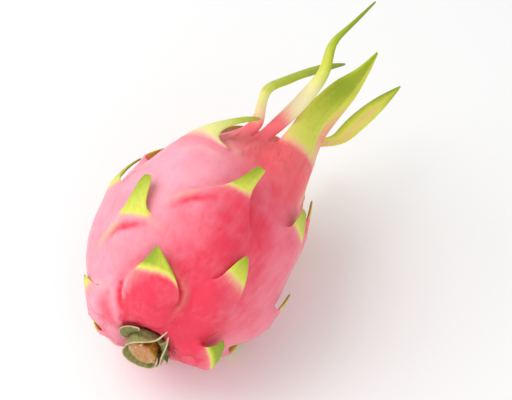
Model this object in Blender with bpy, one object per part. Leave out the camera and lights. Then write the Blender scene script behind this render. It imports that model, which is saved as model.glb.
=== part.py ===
"""A dragon fruit lying on its side: the fruit with its scales, and the dry pieces at its two ends.

The fruit's own frame has `side` to the right, `along` from the stem end to the crown, and `top` upwards.
`arc` is the distance over the skin from the middle of the stem end, and `turn` goes round from the top.
"""
import math
import random

import bmesh
import bpy
import numpy as np
from mathutils import Matrix, Vector, noise

MM = 0.001

# Driving sizes of the body, in millimetres and degrees
LENGTH = 118.0
TILT = 5.0
FLAT_DEPTH = 2.4

# Half outline of the body, as distance along the axis and radius, from the stem hollow to the crown hollow
OUTLINE = ((6, 0), (4.5, 5), (1.5, 9.5), (0.4, 13.5), (2.8, 20), (8.5, 26.5), (18, 33), (33, 40.2), (50, 42.4),
           (68, 39.6), (84, 32.2), (95, 25.5), (103, 20), (109, 16), (112, 12.2), (111, 8.5), (108, 4), (107, 0))

# How far the middle of the body strays from the axis, as distance along, to the side and upwards
MIDLINE = ((0, 2.5, -3), (20, -1.5, -1.2), (45, -4.8, 0), (75, -4.4, 0), (95, -1.5, -1.5), (118, 3, -4))

# Broad dents of the body: arc and turn of the middle, depth and size
DENTS = ((26, 140, 5.0, 24), (92, -58, 3.6, 24), (42, -78, -3.6, 22), (22, -95, -0.6, 14), (26, 102, -1.8, 13))

# The skin's grid: rows run from the stem end to the crown, columns go round
ROWS = 30
COLUMNS = 48
OUTLINE_SAMPLES = 1500
LUMP_SIZE = 22.0
LUMP_HEIGHT = 0.5
HOLLOW_ARC = 9.0

# How a blade leaves the skin, its closest distance over it, and its thickness at the root and the rim
BLEND = 0.32
SKIN_CLEARANCE = 0.8
ROOT_THICKNESS = 3.0
THIN = 0.9
SCALE_STEPS = 6
LEAF_STEPS = 9

# Where a short blade and a long one are widest, as shares of their length.
SHORT_BLADE_START = 0.3
LONG_BLADE_START = 0.12
# A blade is thinner at its edges by this share, and thins the faster near its root the higher the power.
EDGE_THINNING = 0.45
THINNING_POWER = 1.6
# Width of a swelling against its scale's root, what it loses towards its end, and how square its crown is.
SWELL_WIDTH = 1.18
SWELL_NARROWING = 0.3
SWELL_SQUARENESS = 2.4
# Share of a blade over which it rises clear of the skin, and how much clearer its outer face stays.
CLEARING = 0.2
OUTER_CLEARANCE = 1.8
# Shares of a blade's length and width over which its direction is measured, and places kept along a leaf.
STEP_OUT = 0.05
STEP_ACROSS = 0.1
LEAF_PLACES = 60

# Scales that lie along the skin. The path of a blade is along, sideways and lift over the plain skin
SKIN_SCALES = {
    "upper left": dict(row=13, first=-10, across=4, swell=0.8, reach=24, widths=(5.8, 5.0, 4.0, 2.4, 0.6),
                       path=((0, 0, 1.6), (7, 1.5, 0.9), (14, 3, 0.2), (20, 4.5, -0.6))),
    "middle left": dict(row=10, first=-5, across=4, swell=4.2, reach=24, fold=0.35, widths=(4.5, 4.2, 3.4, 3.0, 1.6),
                        path=((0, 1, 3.6), (5.5, 1.4, 3.8), (11, 1.9, 4.0), (16.7, 2.1, 4.2))),
    "lower left": dict(row=5, first=-13, across=6, swell=5.5, reach=20, widths=(10.0, 7.2, 4.6, 2.4, 0.5),
                       path=((0, -1, 3.6), (4, -1.5, 3.6), (8, -2, 3.2), (11, -2.5, 2.6))),
    "front": dict(row=5, first=-3, across=6, swell=4.6, reach=20, ridge=0.12, widths=(12.0, 10.2, 7.0, 3.7, 0.4),
                  path=((0, 1, 4.0), (6, 1.7, 4.6), (12, 1.9, 5.2), (17.8, 0, 5.2))),
    "lower right": dict(row=4, first=9, across=6, swell=3.4, reach=18, widths=(8.5, 7.0, 5.0, 3.2, 1.2),
                        path=((0, 0, 3.6), (4, -1.2, 3.8), (8, -3, 3.4), (11.5, -5.5, 2.6))),
    "centre": dict(row=13, first=0, across=6, swell=4.8, reach=30, widths=(9.2, 6.2, 3.6, 2.5, 1.6),
                   path=((0, 1.5, 4.4), (7.8, 3.0, 4.8), (15.7, 4.0, 5.4), (25.6, 5.0, 6.4))),
    "right": dict(row=8, first=5, across=4, swell=4.2, reach=22, widths=(6.5, 5.6, 4.2, 2.6, 0.6),
                  path=((0, 0, 3.6), (7, -1, 3.6), (13, -2, 3.8), (18, -3, 4.0))),
}

# Roots of the scales on the far and lower sides: row, first column, columns across
FAR_SCALES = ((16, 8, 4), (12, 13, 4), (19, 17, 4), (9, 18, 4), (3, -17, 5), (8, -20, 4), (13, -17, 4),
              (18, -13, 4), (20, -21, 4), (14, 20, 4), (23, -10, 4), (20, 12, 4))
FAR_SEED = 7
FAR_LENGTH = (15, 19)
FAR_LEAN = (-3, 3)
FAR_TIP_RISE = (0, 0.8)
FAR_SWELL = 3.6
FAR_REACH = 22
FAR_WIDTHS = (6.0, 4.2, 1.3)

# Free leaves of the crown. The path is side, along and top in the fruit's frame, and starts past the root.
# Hollow bends the sides of a leaf down from its keel.
CROWN_LEAVES = {
    "top": dict(row=19, first=-6, across=7, swell=2.8, reach=26, widths=(13.0, 4.6, 3.0, 2.7, 1.5), hollow=0.25,
                path=((-12.8, 83.5, 36.3), (-9, 88, 37.0), (-5, 93.5, 35.6), (-2.2, 98, 33.2), (0.3, 102, 30.2))),
    "ribbon": dict(row=23, first=-3, across=3, swell=1.0, reach=12,
                   widths=(1.8, 2.1, 2.6, 2.6, 2.2, 2.2, 2.0, 1.4, 0.5), hollow=0.2, twist=60,
                   path=((-3.0, 105, 21), (-2.8, 109, 28.2), (-2.6, 113, 34.6), (0.4, 125, 30.2), (4.5, 141, 21.8),
                         (7.5, 154, 13.2), (10, 163.5, 6.0))),
    "tallest": dict(row=24, first=0, across=2, swell=1.0, reach=12,
                    widths=(4.0, 4.0, 3.8, 3.3, 2.6, 2.2, 1.5, 1.1, 0.5), hollow=0.3, twist=-20,
                    path=((6, 113, 21.5), (9.3, 126, 23.5), (12.2, 139, 28.4), (10.2, 149.5, 33.4), (12.8, 164, 33.0),
                          (16.8, 180, 34.0))),
    "broad": dict(row=24, first=3, across=8, swell=5.0, reach=34,
                  widths=(10.8, 9.8, 9.2, 8.2, 7.3, 6.3, 3.8, 2.1, 0.5), hollow=0.22, twist=-18,
                  path=((18, 107, 12.5), (17, 115, 12.0), (16.2, 123.5, 11.8), (17.4, 130.5, 12.6),
                        (19.6, 138, 14.8), (22.4, 144, 18.2), (26.0, 150.5, 23.4), (27.4, 160, 26.0))),
    "right": dict(row=24, first=13, across=2, swell=1.0, reach=12,
                  widths=(1.6, 1.7, 4.2, 5.0, 4.9, 4.4, 3.5, 2.1, 0.3), hollow=0.3, twist=100,
                  path=((15.2, 119, -1.6), (17.2, 122.9, -1.6), (21, 125, -1.8), (24.4, 128, -1.8), (26.2, 136, -1.6),
                        (28, 144.8, -1.8), (30.8, 157.1, -2.4), (34.2, 169.6, -3))),
    "lower": dict(row=24, first=20, across=3, swell=1.0, reach=12, widths=(3.8, 3.6, 3.2, 2.4, 0.9), hollow=0.35,
                  path=((6.5, 117, -20.0), (7, 130, -22.0), (9, 142, -27.0))),
    "left": dict(row=24, first=-16, across=3, swell=1.0, reach=12, widths=(3.4, 3.4, 3.0, 2.2, 0.9), hollow=0.35,
                 path=((-12.0, 114, -13.0), (-12.0, 124, -14.0), (-14.0, 135, -17.0))),
}

# Dry bracts round the stem. First and across are columns of the ring that they grow from, at its front or behind.
# The rows of a sheet are places to the side, along and upwards from the stem's middle, out to the bract's rim.
STEM_BRACTS = {
    "back": dict(first=-7, across=4, behind=True,
                 sheet=(((-11.0, -0.6, 0.0), (-8.2, -1.0, 6.8), (-2.4, -0.6, 10.0)),
                        ((-12.0, -0.6, 4.0), (-8.0, -1.4, 9.8), (-1.8, -0.8, 12.4)),
                        ((-11.4, -0.7, 8.4), (-6.6, -1.2, 12.2), (-1.3, -0.7, 14.4)))),
    "lip": dict(first=-6, across=9, behind=False,
                sheet=(((-8.6, -2.6, 0.4), (-4.8, -2.6, 6.8), (0.6, -2.6, 8.4), (4.6, -2.4, 9.4), (7.2, -1.9, 11.0)),
                       ((-8.8, -4.8, -0.2), (-3.4, -5.6, 6.2), (3.0, -4.2, 9.2), (7.6, -2.4, 12.4),
                        (11.0, 0.2, 17.0)))),
    "right": dict(first=4, across=9, behind=False,
                  sheet=(((8.6, -0.9, 8.6), (9.0, -1.8, 5.2), (8.6, -2.6, 0.8), (7.4, -2.8, -3.8), (5.2, -2.8, -6.6)),
                         ((11.0, -0.2, 14.2), (9.9, -2.4, 7.6), (8.6, -4.2, 1.8), (7.2, -5.0, -3.4),
                          (5.3, -5.3, -6.6)))),
    "flap": dict(first=9, across=3, behind=True,
                 sheet=(((10.1, -0.9, -0.6), (9.9, -1.1, -3.1), (8.6, -0.9, -5.8)),
                        ((11.0, -2.1, 0.3), (10.5, -2.7, -2.5), (9.0, -2.3, -5.4)))),
    "lower": dict(first=14, across=10, behind=False,
                  sheet=(((4.2, -3.0, -8.0), (0.2, -3.2, -8.8), (-4.8, -3.4, -7.8), (-7.9, -3.2, -4.8),
                          (-8.8, -2.8, -1.6)),
                         ((4.4, -5.3, -7.8), (0.0, -5.3, -10.2), (-5.6, -6.0, -9.0), (-9.4, -6.0, -6.2),
                          (-9.6, -5.2, -2.6)))),
}
BRACT_COLUMNS = 32
BRACT_STEPS = 5
BRACT_RIM = 0.7
BRACT_CLEARANCE = 1.7
BRACT_ROOT = 1.5
BRACT_RIPPLE = 0.3
BRACT_RIPPLES = 5
# A face of the ring further out than this is its outer side; of the rest, one below this along is its front.
RING_SIDE = 8.0
RING_FRONT = 0.1

# Where along the axis the two hollows lie
STEM_HOLLOW = 3.0
CROWN_HOLLOW = 109.0

# Cross-section of the ring that the bracts grow from, as (radius, along)
BRACT_RING = ((5.7, 3.5), (8.6, 1.5), (8.6, -0.6), (5.7, 0.2))

# Outlines of the turned pieces, as (radius, along)
STEM_OUTLINE = ((0, 3.8), (4.4, 3.5), (5.0, 2.4), (5.0, -0.8), (6.3, -2.6), (6.8, -4.2), (5.8, -5.2), (3.0, -5.0),
                (0, -4.4))
SCAR_OUTLINE = ((0, 108.1), (3.4, 109.1), (6.0, 111.2), (5.8, 112.4), (4.0, 112.8), (2.2, 114.0), (1.6, 117.0),
                (0, 117.6))
TURNED_SEGMENTS = 20


def curve_through(places, values, at):
    """Smooth curve through values given at rising places."""
    places = np.asarray(places, float)
    values = np.asarray(values, float)
    slopes = np.gradient(values, places, axis=0)
    i = int(np.clip(np.searchsorted(places, at, side="right") - 1, 0, len(places) - 2))
    step = places[i + 1] - places[i]
    t = min(max((at - places[i]) / step, 0.0), 1.0)
    return ((2 * t**3 - 3 * t**2 + 1) * values[i] + (t**3 - 2 * t**2 + t) * step * slopes[i]
            + (3 * t**2 - 2 * t**3) * values[i + 1] + (t**3 - t**2) * step * slopes[i + 1])


def sample_outline():
    """The body's outline as close samples: arc, along, radius and the outward normal's two parts."""
    points = np.array(OUTLINE, float)
    chord = np.r_[0, np.cumsum(np.hypot(*np.diff(points, axis=0).T))]
    fine = np.array([curve_through(chord, points, at) for at in np.linspace(0, chord[-1], OUTLINE_SAMPLES)])
    fine[:, 1] = np.maximum(fine[:, 1], 0)
    arc = np.r_[0, np.cumsum(np.hypot(*np.diff(fine, axis=0).T))]
    normal = np.stack([-np.gradient(fine[:, 1], arc), np.gradient(fine[:, 0], arc)], 1)
    normal /= np.hypot(*normal.T)[:, None]
    return arc, fine[:, 0], fine[:, 1], normal[:, 0], normal[:, 1]


ARC, ALONG, RADIUS, NORMAL_ALONG, NORMAL_OUT = sample_outline()
ROW_STEP = ARC[-1] / ROWS
COLUMN_STEP = 360 / COLUMNS


def radius_at(arc):
    return float(np.interp(arc, ARC, RADIUS))


def midline(along):
    """Middle of the body at a distance along the axis."""
    stations = np.array(MIDLINE, float)
    offset = curve_through(stations[:, 0], stations[:, 1:], min(max(along, 0), LENGTH))
    return Vector((offset[0], along, offset[1]))


def at_axis(along, radius, turn):
    """Place in the fruit's own frame."""
    angle = math.radians(turn)
    return midline(along) + Vector((radius * math.sin(angle), 0, radius * math.cos(angle)))


def on_skin(arc, turn, lift=0.0):
    """Place at a height over the plain skin."""
    along = np.interp(arc, ARC, ALONG) + lift * np.interp(arc, ARC, NORMAL_ALONG)
    radius = np.interp(arc, ARC, RADIUS) + lift * np.interp(arc, ARC, NORMAL_OUT)
    return at_axis(float(along), float(radius), turn)


def skin_under(place):
    """Arc, turn and height over the plain skin of a place."""
    away = place - midline(place.y)
    radius = math.hypot(away.x, away.z)
    nearest = int(np.argmin((ALONG - place.y) ** 2 + (RADIUS - radius) ** 2))
    height = ((place.y - ALONG[nearest]) * NORMAL_ALONG[nearest]
              + (radius - RADIUS[nearest]) * NORMAL_OUT[nearest])
    return ARC[nearest], math.degrees(math.atan2(away.x, away.z)), height


def turn_between(turn, middle):
    """Signed turn from the middle, the short way round."""
    return (turn - middle + 180) % 360 - 180


class Scale:
    """One scale or leaf: its root on the skin's grid and its blade."""

    def __init__(self, row, first, across, swell, reach, path, widths, fold=0.0, ridge=0.0, hollow=0.0, twist=0.0,
                 free=False):
        self.row = row
        self.first = first
        self.across = across
        self.swell = swell
        self.reach = reach
        self.path = path
        self.fold = fold
        self.ridge = ridge
        self.hollow = hollow
        self.twist = math.radians(twist)
        self.free = free
        self.root_arc = row * ROW_STEP
        self.middle_arc = (row + 0.5) * ROW_STEP
        self.middle_turn = (first + across / 2) * COLUMN_STEP
        self.root_half = math.radians(across * COLUMN_STEP / 2) * radius_at(self.middle_arc)
        self.widths = widths
        if free:
            self.frames = self.sweep_frames()

    def half_width(self, t):
        places = np.linspace(SHORT_BLADE_START if len(self.widths) < 4 else LONG_BLADE_START, 1, len(self.widths))
        if t <= places[0]:
            return self.widths[0]
        return float(curve_through(places, self.widths, t))

    def thickness(self, t):
        return THIN + (ROOT_THICKNESS - THIN) * (1 - t) ** THINNING_POWER

    def lift_here(self, arc, turn):
        """Height of this scale's swelling over the plain skin."""
        behind = self.root_arc - arc
        if behind > self.reach or behind < -ROW_STEP:
            return 0.0
        narrowing = SWELL_WIDTH - SWELL_NARROWING * max(behind, 0) / self.reach
        half = self.root_half * narrowing
        sideways = math.radians(turn_between(turn, self.middle_turn)) * radius_at(arc) / half
        if abs(sideways) >= 1:
            return 0.0
        if behind < 0:
            fade = 1 + behind / ROW_STEP
        else:
            fade = 0.5 + 0.5 * math.cos(math.pi * behind / self.reach)
            fade -= self.fold * max(1 - behind / ROW_STEP, 0)
        return self.swell * fade * (1 - abs(sideways) ** SWELL_SQUARENESS)

    def sweep_frames(self):
        """Places and directions along a free leaf, carried from its root without turning over."""
        points = [on_skin(self.middle_arc, self.middle_turn, 0.5)] + [Vector(p) for p in self.path]
        chord = np.r_[0, np.cumsum([(b - a).length for a, b in zip(points, points[1:])])]
        stations = np.linspace(0, chord[-1], LEAF_PLACES)
        places = [Vector(curve_through(chord, points, at)) for at in stations]
        normal = (on_skin(self.middle_arc, self.middle_turn, 1.0) - on_skin(self.middle_arc, self.middle_turn))
        frames = []
        for i, place in enumerate(places):
            ahead = (places[min(i + 1, LEAF_PLACES - 1)] - places[max(i - 1, 0)]).normalized()
            normal = (normal - normal.dot(ahead) * ahead).normalized()
            turned = Matrix.Rotation(self.twist * i / (LEAF_PLACES - 1), 3, ahead) @ normal
            frames.append((place, ahead, turned))
        return frames

    def free_place(self, across, outer, t):
        i = min(int(t * (len(self.frames) - 1)), len(self.frames) - 2)
        part = t * (len(self.frames) - 1) - i
        place = self.frames[i][0].lerp(self.frames[i + 1][0], part)
        ahead = self.frames[i][1].lerp(self.frames[i + 1][1], part).normalized()
        normal = self.frames[i][2].lerp(self.frames[i + 1][2], part).normalized()
        sideways = ahead.cross(normal).normalized()
        half = self.half_width(t)
        depth = self.thickness(t) * (1 - EDGE_THINNING * across * across) / 2
        fold = -self.hollow * half * across * across
        return place + sideways * (across * half) + normal * (fold + (depth if outer else -depth))

    def skin_place(self, across, outer, t, skin_lift):
        legs = np.linspace(0, 1, len(self.path))
        along, sideways, lift = curve_through(legs, self.path, t)
        further = curve_through(legs, self.path, min(t + STEP_OUT, 1))
        ahead = further - curve_through(legs, self.path, max(t - STEP_OUT, 0))
        slope = math.atan2(ahead[2], ahead[0])
        lift += self.ridge * self.half_width(t) * (0.5 - abs(across))
        depth = self.thickness(t) * (1 - EDGE_THINNING * across * across)
        arc = self.middle_arc + along
        turn = self.middle_turn + math.degrees((sideways + across * self.half_width(t)) / radius_at(arc))
        floor = skin_lift(arc, turn) + SKIN_CLEARANCE * min(t / CLEARING, 1)
        inner_lift = max(lift - depth, floor)
        if not outer:
            return on_skin(arc, turn, inner_lift)
        return on_skin(arc - math.sin(slope) * depth, turn, inner_lift + depth * math.cos(slope))

    def place(self, across, outer, t, skin_lift):
        """Place of one blade vertex, eased from the root on the skin into the free blade."""
        if self.free:
            blade = self.free_place(across, outer, t)
            start = self.free_place(across, outer, 0)
        else:
            blade = self.skin_place(across, outer, t, skin_lift)
            start = self.skin_place(across, outer, 0, skin_lift)
        column = self.first + (across + 1) / 2 * self.across
        arc = (self.row if outer else self.row + 1) * ROW_STEP
        root = on_skin(arc, column * COLUMN_STEP, skin_lift(arc, column * COLUMN_STEP))
        blade += (root - start) * max(1 - t / BLEND, 0) ** 2
        arc, turn, height = skin_under(blade)
        wanted = SKIN_CLEARANCE * min(t / CLEARING, 1) * (OUTER_CLEARANCE if outer else 1)
        short = skin_lift(arc, turn) + wanted - height
        if short > 0 and arc > self.root_arc:
            blade += (on_skin(arc, turn, 1.0) - on_skin(arc, turn)) * short
        return blade


def list_scales():
    """Every scale of the fruit; those out of sight follow one plan with small differences."""
    scales = [Scale(**values) for values in SKIN_SCALES.values()]
    chance = random.Random(FAR_SEED)
    for row, first, across in FAR_SCALES:
        length = chance.uniform(*FAR_LENGTH)
        lean = chance.uniform(*FAR_LEAN)
        path = ((0, 0, 3.2), (length * 0.4, lean * 0.3, 3.4), (length, lean, 3.6 + chance.uniform(*FAR_TIP_RISE)))
        scales.append(Scale(row, first, across, swell=FAR_SWELL, reach=FAR_REACH, path=path, widths=FAR_WIDTHS))
    scales += [Scale(**values, free=True) for values in CROWN_LEAVES.values()]
    return scales


def skin_height(scales, arc, turn):
    """Height of the swollen skin over the plain body."""
    from_hollow = (min(arc, ARC[-1] - arc) - HOLLOW_ARC) / HOLLOW_ARC
    swelling = max(scale.lift_here(arc, turn) for scale in scales)
    lump = LUMP_HEIGHT * noise.noise(on_skin(arc, turn) / LUMP_SIZE)
    place = on_skin(arc, turn)
    dent = sum(depth * math.exp(-((place - on_skin(*middle)).length / size) ** 2) for *middle, depth, size in DENTS)
    return (swelling + lump - dent) * min(max(from_hollow, 0), 1)


def grid_reader(heights):
    """Function that reads the grid of skin heights between its corners."""
    def read(arc, turn):
        row = min(max(arc / ROW_STEP, 0), ROWS - 1e-6)
        column = (turn / COLUMN_STEP) % COLUMNS
        j, i = int(row), int(column) % COLUMNS
        v, u = row - j, column - int(column)
        k = (i + 1) % COLUMNS
        return (heights[j][i] * (1 - u) * (1 - v) + heights[j][k] * u * (1 - v)
                + heights[j + 1][i] * (1 - u) * v + heights[j + 1][k] * u * v)
    return read


def pull_blade(bm, faces, place, steps):
    """Pull a strip of faces out into a blade, ring by ring."""
    across = bm.verts.layers.float["across"]
    outer = bm.verts.layers.int["outer"]
    for step in range(1, steps + 1):
        made = bmesh.ops.extrude_face_region(bm, geom=faces)["geom"]
        bmesh.ops.delete(bm, geom=[face for face in faces if face.is_valid], context="FACES_ONLY")
        faces = [item for item in made if isinstance(item, bmesh.types.BMFace)]
        for vert in made:
            if isinstance(vert, bmesh.types.BMVert):
                vert.co = place(vert[across], vert[outer], step / steps)


def make_fruit():
    """The whole fruit in its own frame: a sphere's grid laid on the body, with every blade pulled from it."""
    scales = list_scales()
    bm = bmesh.new()
    across = bm.verts.layers.float.new("across")
    outer = bm.verts.layers.int.new("outer")
    bmesh.ops.create_uvsphere(bm, u_segments=COLUMNS, v_segments=ROWS, radius=1)
    heights = [[skin_height(scales, row * ROW_STEP, column * COLUMN_STEP) for column in range(COLUMNS)]
               for row in range(ROWS + 1)]
    for end in (0, ROWS):
        heights[end] = [sum(heights[end]) / COLUMNS] * COLUMNS
    skin_lift = grid_reader(heights)
    grid = {}
    for vert in bm.verts:
        row = round(math.acos(max(min(-vert.co.z, 1), -1)) / math.pi * ROWS)
        column = 0 if row in (0, ROWS) else round(math.degrees(math.atan2(vert.co.x, vert.co.y)) / COLUMN_STEP)
        grid[row, column % COLUMNS] = vert
    for (row, column), vert in grid.items():
        vert.co = on_skin(row * ROW_STEP, column * COLUMN_STEP, heights[row][column])
    for scale in scales:
        columns = range(scale.first, scale.first + scale.across + 1)
        for row in (scale.row, scale.row + 1):
            for column in columns:
                vert = grid[row, column % COLUMNS]
                vert[across] = 2 * (column - scale.first) / scale.across - 1
                vert[outer] = int(row == scale.row)
        strip = []
        for column in columns[:-1]:
            left, right = column % COLUMNS, (column + 1) % COLUMNS
            corners = [grid[scale.row, left], grid[scale.row, right]]
            corners += [grid[scale.row + 1, right], grid[scale.row + 1, left]]
            strip.append(bm.faces.get(corners))
        pull_blade(bm, strip, lambda u, o, t, scale=scale: scale.place(u, o, t, skin_lift),
                   LEAF_STEPS if scale.free else SCALE_STEPS)
    return bm


def turned_piece(outline, hollow):
    """A solid of revolution in the middle of one of the fruit's hollows."""
    bm = bmesh.new()
    verts = [bm.verts.new((radius, along, 0)) for radius, along in outline]
    edges = [bm.edges.new(pair) for pair in zip(verts, verts[1:])]
    bmesh.ops.spin(bm, geom=verts + edges, cent=(0, 0, 0), axis=(0, 1, 0), angle=math.tau,
                   steps=TURNED_SEGMENTS, use_merge=True)
    bmesh.ops.remove_doubles(bm, verts=bm.verts, dist=0.01)
    shift = midline(hollow)
    bmesh.ops.translate(bm, verts=bm.verts, vec=(shift.x, 0, shift.z))
    return bm


def sheet_place(sheet, across, t):
    """Place on a bract's sheet, across from -1 to 1 and out from the ring to the rim."""
    rows = [curve_through(np.linspace(-1, 1, len(row)), row, across) for row in sheet]
    return Vector(curve_through(np.linspace(0, 1, len(rows)), rows, t))


def bract_place(sheet, across, outer, t, skin_under_bract):
    """Place of one bract vertex, on one of the two faces of its sheet and clear of the skin."""
    place = sheet_place(sheet, across, t)
    ahead = sheet_place(sheet, across, min(t + STEP_OUT, 1)) - sheet_place(sheet, across, t - STEP_OUT)
    right = sheet_place(sheet, min(across + STEP_ACROSS, 1), t)
    beside = right - sheet_place(sheet, max(across - STEP_ACROSS, -1), t)
    normal = ahead.cross(beside).normalized()
    thickness = BRACT_RIM + (BRACT_ROOT - BRACT_RIM) * (1 - t) ** 3
    ripple = BRACT_RIPPLE * math.sin(BRACT_RIPPLES * across + sheet[-1][0][0]) * t
    place += normal * ripple
    half = thickness / 2 if outer else -thickness / 2
    return place + skin_under_bract(place) + normal * half


def make_stem_sepals():
    """A ring round the stem with its dry bracts pulled from it."""
    scales = list_scales()
    bm = bmesh.new()
    across = bm.verts.layers.float.new("across")
    outer = bm.verts.layers.int.new("outer")
    verts = [bm.verts.new((0, along, radius)) for radius, along in BRACT_RING]
    edges = [bm.edges.new(pair) for pair in zip(verts, verts[1:] + verts[:1])]
    bmesh.ops.spin(bm, geom=verts + edges, cent=(0, 0, 0), axis=(0, 1, 0), angle=math.tau,
                   steps=BRACT_COLUMNS, use_merge=True)
    column_step = 360 / BRACT_COLUMNS
    ring = {}
    for face in bm.faces:
        middle = face.calc_center_median()
        radius = math.hypot(middle.x, middle.z)
        column = int(math.degrees(math.atan2(middle.x, middle.z)) // column_step) % BRACT_COLUMNS
        if radius > RING_SIDE:
            ring[True, column] = face
        elif middle.y < RING_FRONT:
            ring[False, column] = face
    stem_middle = midline(STEM_HOLLOW)
    shift = Vector((stem_middle.x, 0, stem_middle.z))

    def clear(place):
        """Move that lifts a place in front of the skin."""
        arc, turn, height = skin_under(place + shift)
        short = skin_height(scales, arc, turn) + BRACT_CLEARANCE - height
        return (on_skin(arc, turn, 1.0) - on_skin(arc, turn)) * max(short, 0)

    for values in STEM_BRACTS.values():
        first, count, behind = values["first"], values["across"], values["behind"]
        strip = [ring[behind, column % BRACT_COLUMNS] for column in range(first, first + count)]
        middle_turn = (first + count / 2) * column_step
        corners = {vert for face in strip for vert in face.verts}
        split = sum((vert.co.y if behind else math.hypot(vert.co.x, vert.co.z)) for vert in corners) / len(corners)
        radius = sum(math.hypot(vert.co.x, vert.co.z) for vert in corners) / len(corners)
        along = sum(vert.co.y for vert in corners) / len(corners)
        for vert in corners:
            turn = math.degrees(math.atan2(vert.co.x, vert.co.z))
            vert[across] = turn_between(turn, middle_turn) / (count * column_step / 2)
            vert[outer] = int((vert.co.y if behind else math.hypot(vert.co.x, vert.co.z)) > split)
        turns = [math.radians(middle_turn + u * count * column_step / 2) for u in np.linspace(-1, 1, 5)]
        root = tuple((radius * math.sin(turn), along, radius * math.cos(turn)) for turn in turns)
        sheet = (root,) + values["sheet"]
        pull_blade(bm, strip, lambda u, o, t, sheet=sheet: bract_place(sheet, u, o, t, clear), BRACT_STEPS)
    bmesh.ops.translate(bm, verts=bm.verts, vec=shift)
    return bm


def resting_height():
    """Height of the fruit's frame at which the flat spot is cut to its depth."""
    tilt = Matrix.Rotation(math.radians(TILT), 3, "X")
    lowest = min((tilt @ on_skin(arc, 180)).z for arc in np.linspace(20, 100, 161))
    return -lowest - FLAT_DEPTH


def finish(bm, name, height, colour, roughness):
    """Stand a mesh in the world, keep it over the floor and make the object."""
    stand = Matrix.Translation((0, 0, height)) @ Matrix.Rotation(math.radians(TILT), 4, "X")
    for vert in bm.verts:
        vert.co = stand @ vert.co
        vert.co.z = max(vert.co.z, 0)
        vert.co *= MM
    bmesh.ops.triangulate(bm, faces=bm.faces)
    if bm.calc_volume(signed=True) < 0:
        bmesh.ops.reverse_faces(bm, faces=bm.faces)
    mesh = bpy.data.meshes.new(name)
    bm.to_mesh(mesh)
    bm.free()
    material = bpy.data.materials.new(name)
    material.use_nodes = True
    shader = material.node_tree.nodes["Principled BSDF"]
    shader.inputs["Base Color"].default_value = (*colour, 1)
    shader.inputs["Roughness"].default_value = roughness
    shader.inputs["Metallic"].default_value = 0
    mesh.materials.append(material)
    item = bpy.data.objects.new(name, mesh)
    bpy.context.scene.collection.objects.link(item)
    return item


def centre_on_origin(items):
    """Move every mesh so that the middle of the whole part's footprint is at the origin."""
    spots = np.array([vert.co[:2] for item in items for vert in item.data.vertices])
    middle = (spots.min(0) + spots.max(0)) / 2
    for item in items:
        item.data.transform(Matrix.Translation((-middle[0], -middle[1], 0)))


def main():
    for item in list(bpy.data.objects):
        bpy.data.objects.remove(item, do_unlink=True)
    pieces = (
        (make_fruit(), "fruit", (0.80, 0.14, 0.22), 0.42),
        (make_stem_sepals(), "stem_sepals", (0.36, 0.34, 0.17), 0.75),
        (turned_piece(STEM_OUTLINE, STEM_HOLLOW), "cut_stem", (0.58, 0.30, 0.09), 0.8),
        (turned_piece(SCAR_OUTLINE, CROWN_HOLLOW), "flower_scar", (0.20, 0.10, 0.05), 0.85),
    )
    height = resting_height()
    centre_on_origin([finish(bm, name, height, colour, rough) for bm, name, colour, rough in pieces])


main()
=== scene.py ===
import math
import random

import bmesh
import bpy
import numpy as np
from bpy.props import FloatProperty, FloatVectorProperty, IntProperty, PointerProperty
from mathutils import Matrix, Vector, noise


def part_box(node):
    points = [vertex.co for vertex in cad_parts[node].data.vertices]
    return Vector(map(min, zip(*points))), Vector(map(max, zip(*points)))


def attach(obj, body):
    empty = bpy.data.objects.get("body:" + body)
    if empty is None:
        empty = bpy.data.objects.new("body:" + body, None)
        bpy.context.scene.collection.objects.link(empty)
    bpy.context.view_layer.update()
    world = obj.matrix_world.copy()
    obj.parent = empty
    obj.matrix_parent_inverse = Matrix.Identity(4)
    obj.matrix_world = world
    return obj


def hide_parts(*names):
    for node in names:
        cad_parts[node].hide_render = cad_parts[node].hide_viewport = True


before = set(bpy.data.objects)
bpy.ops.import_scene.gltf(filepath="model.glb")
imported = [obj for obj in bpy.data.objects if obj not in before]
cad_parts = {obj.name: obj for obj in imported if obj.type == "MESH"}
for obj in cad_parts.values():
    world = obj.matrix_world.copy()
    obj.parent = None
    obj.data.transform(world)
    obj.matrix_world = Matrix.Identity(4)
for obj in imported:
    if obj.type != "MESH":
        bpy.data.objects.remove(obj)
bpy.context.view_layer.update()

bl_info = {
    "name": "Dragon fruit",
    "version": (1, 0, 0),
    "blender": (4, 5, 0),
    "location": "3D View > Sidebar > Dragon fruit",
    "description": "A dragon fruit on its side, with its scales, crown leaves and dry stem end",
    "category": "Object",
}

# The fruit's own frame is in millimetres: side to the right, along from the stem end to the crown, top upwards.
# Arc is the distance over the skin from the middle of the stem end, and turn goes round from the top.
MM = 0.001
LENGTH = 118.0

# Half outline of the body, as distance along the axis and radius, from the stem hollow to the crown hollow
OUTLINE = ((6, 0), (4.5, 5), (1.5, 9.5), (0.4, 13.5), (2.8, 20), (8.5, 26.5), (18, 33), (33, 40.2), (50, 42.4),
           (68, 39.6), (84, 32.2), (95, 25.5), (103, 20), (109, 16), (112, 12.2), (111, 8.5), (108, 4), (107, 0))

# How far the middle of the body strays from the axis, as distance along, to the side and upwards
MIDLINE = ((0, 2.5, -3), (20, -1.5, -1.2), (45, -4.8, 0), (75, -4.4, 0), (95, -1.5, -1.5), (118, 3, -4))

# Broad dents of the body: arc and turn of the middle, depth and size
DENTS = ((26, 140, 5.0, 24), (92, -58, 3.6, 24), (42, -78, -3.6, 22), (22, -95, -0.6, 14), (26, 102, -1.8, 13))

ROWS = 30
COLUMNS = 48
OUTLINE_SAMPLES = 1500
HOLLOW_ARC = 9.0
BLEND = 0.32
SCALE_STEPS = 8
LEAF_STEPS = 16

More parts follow.
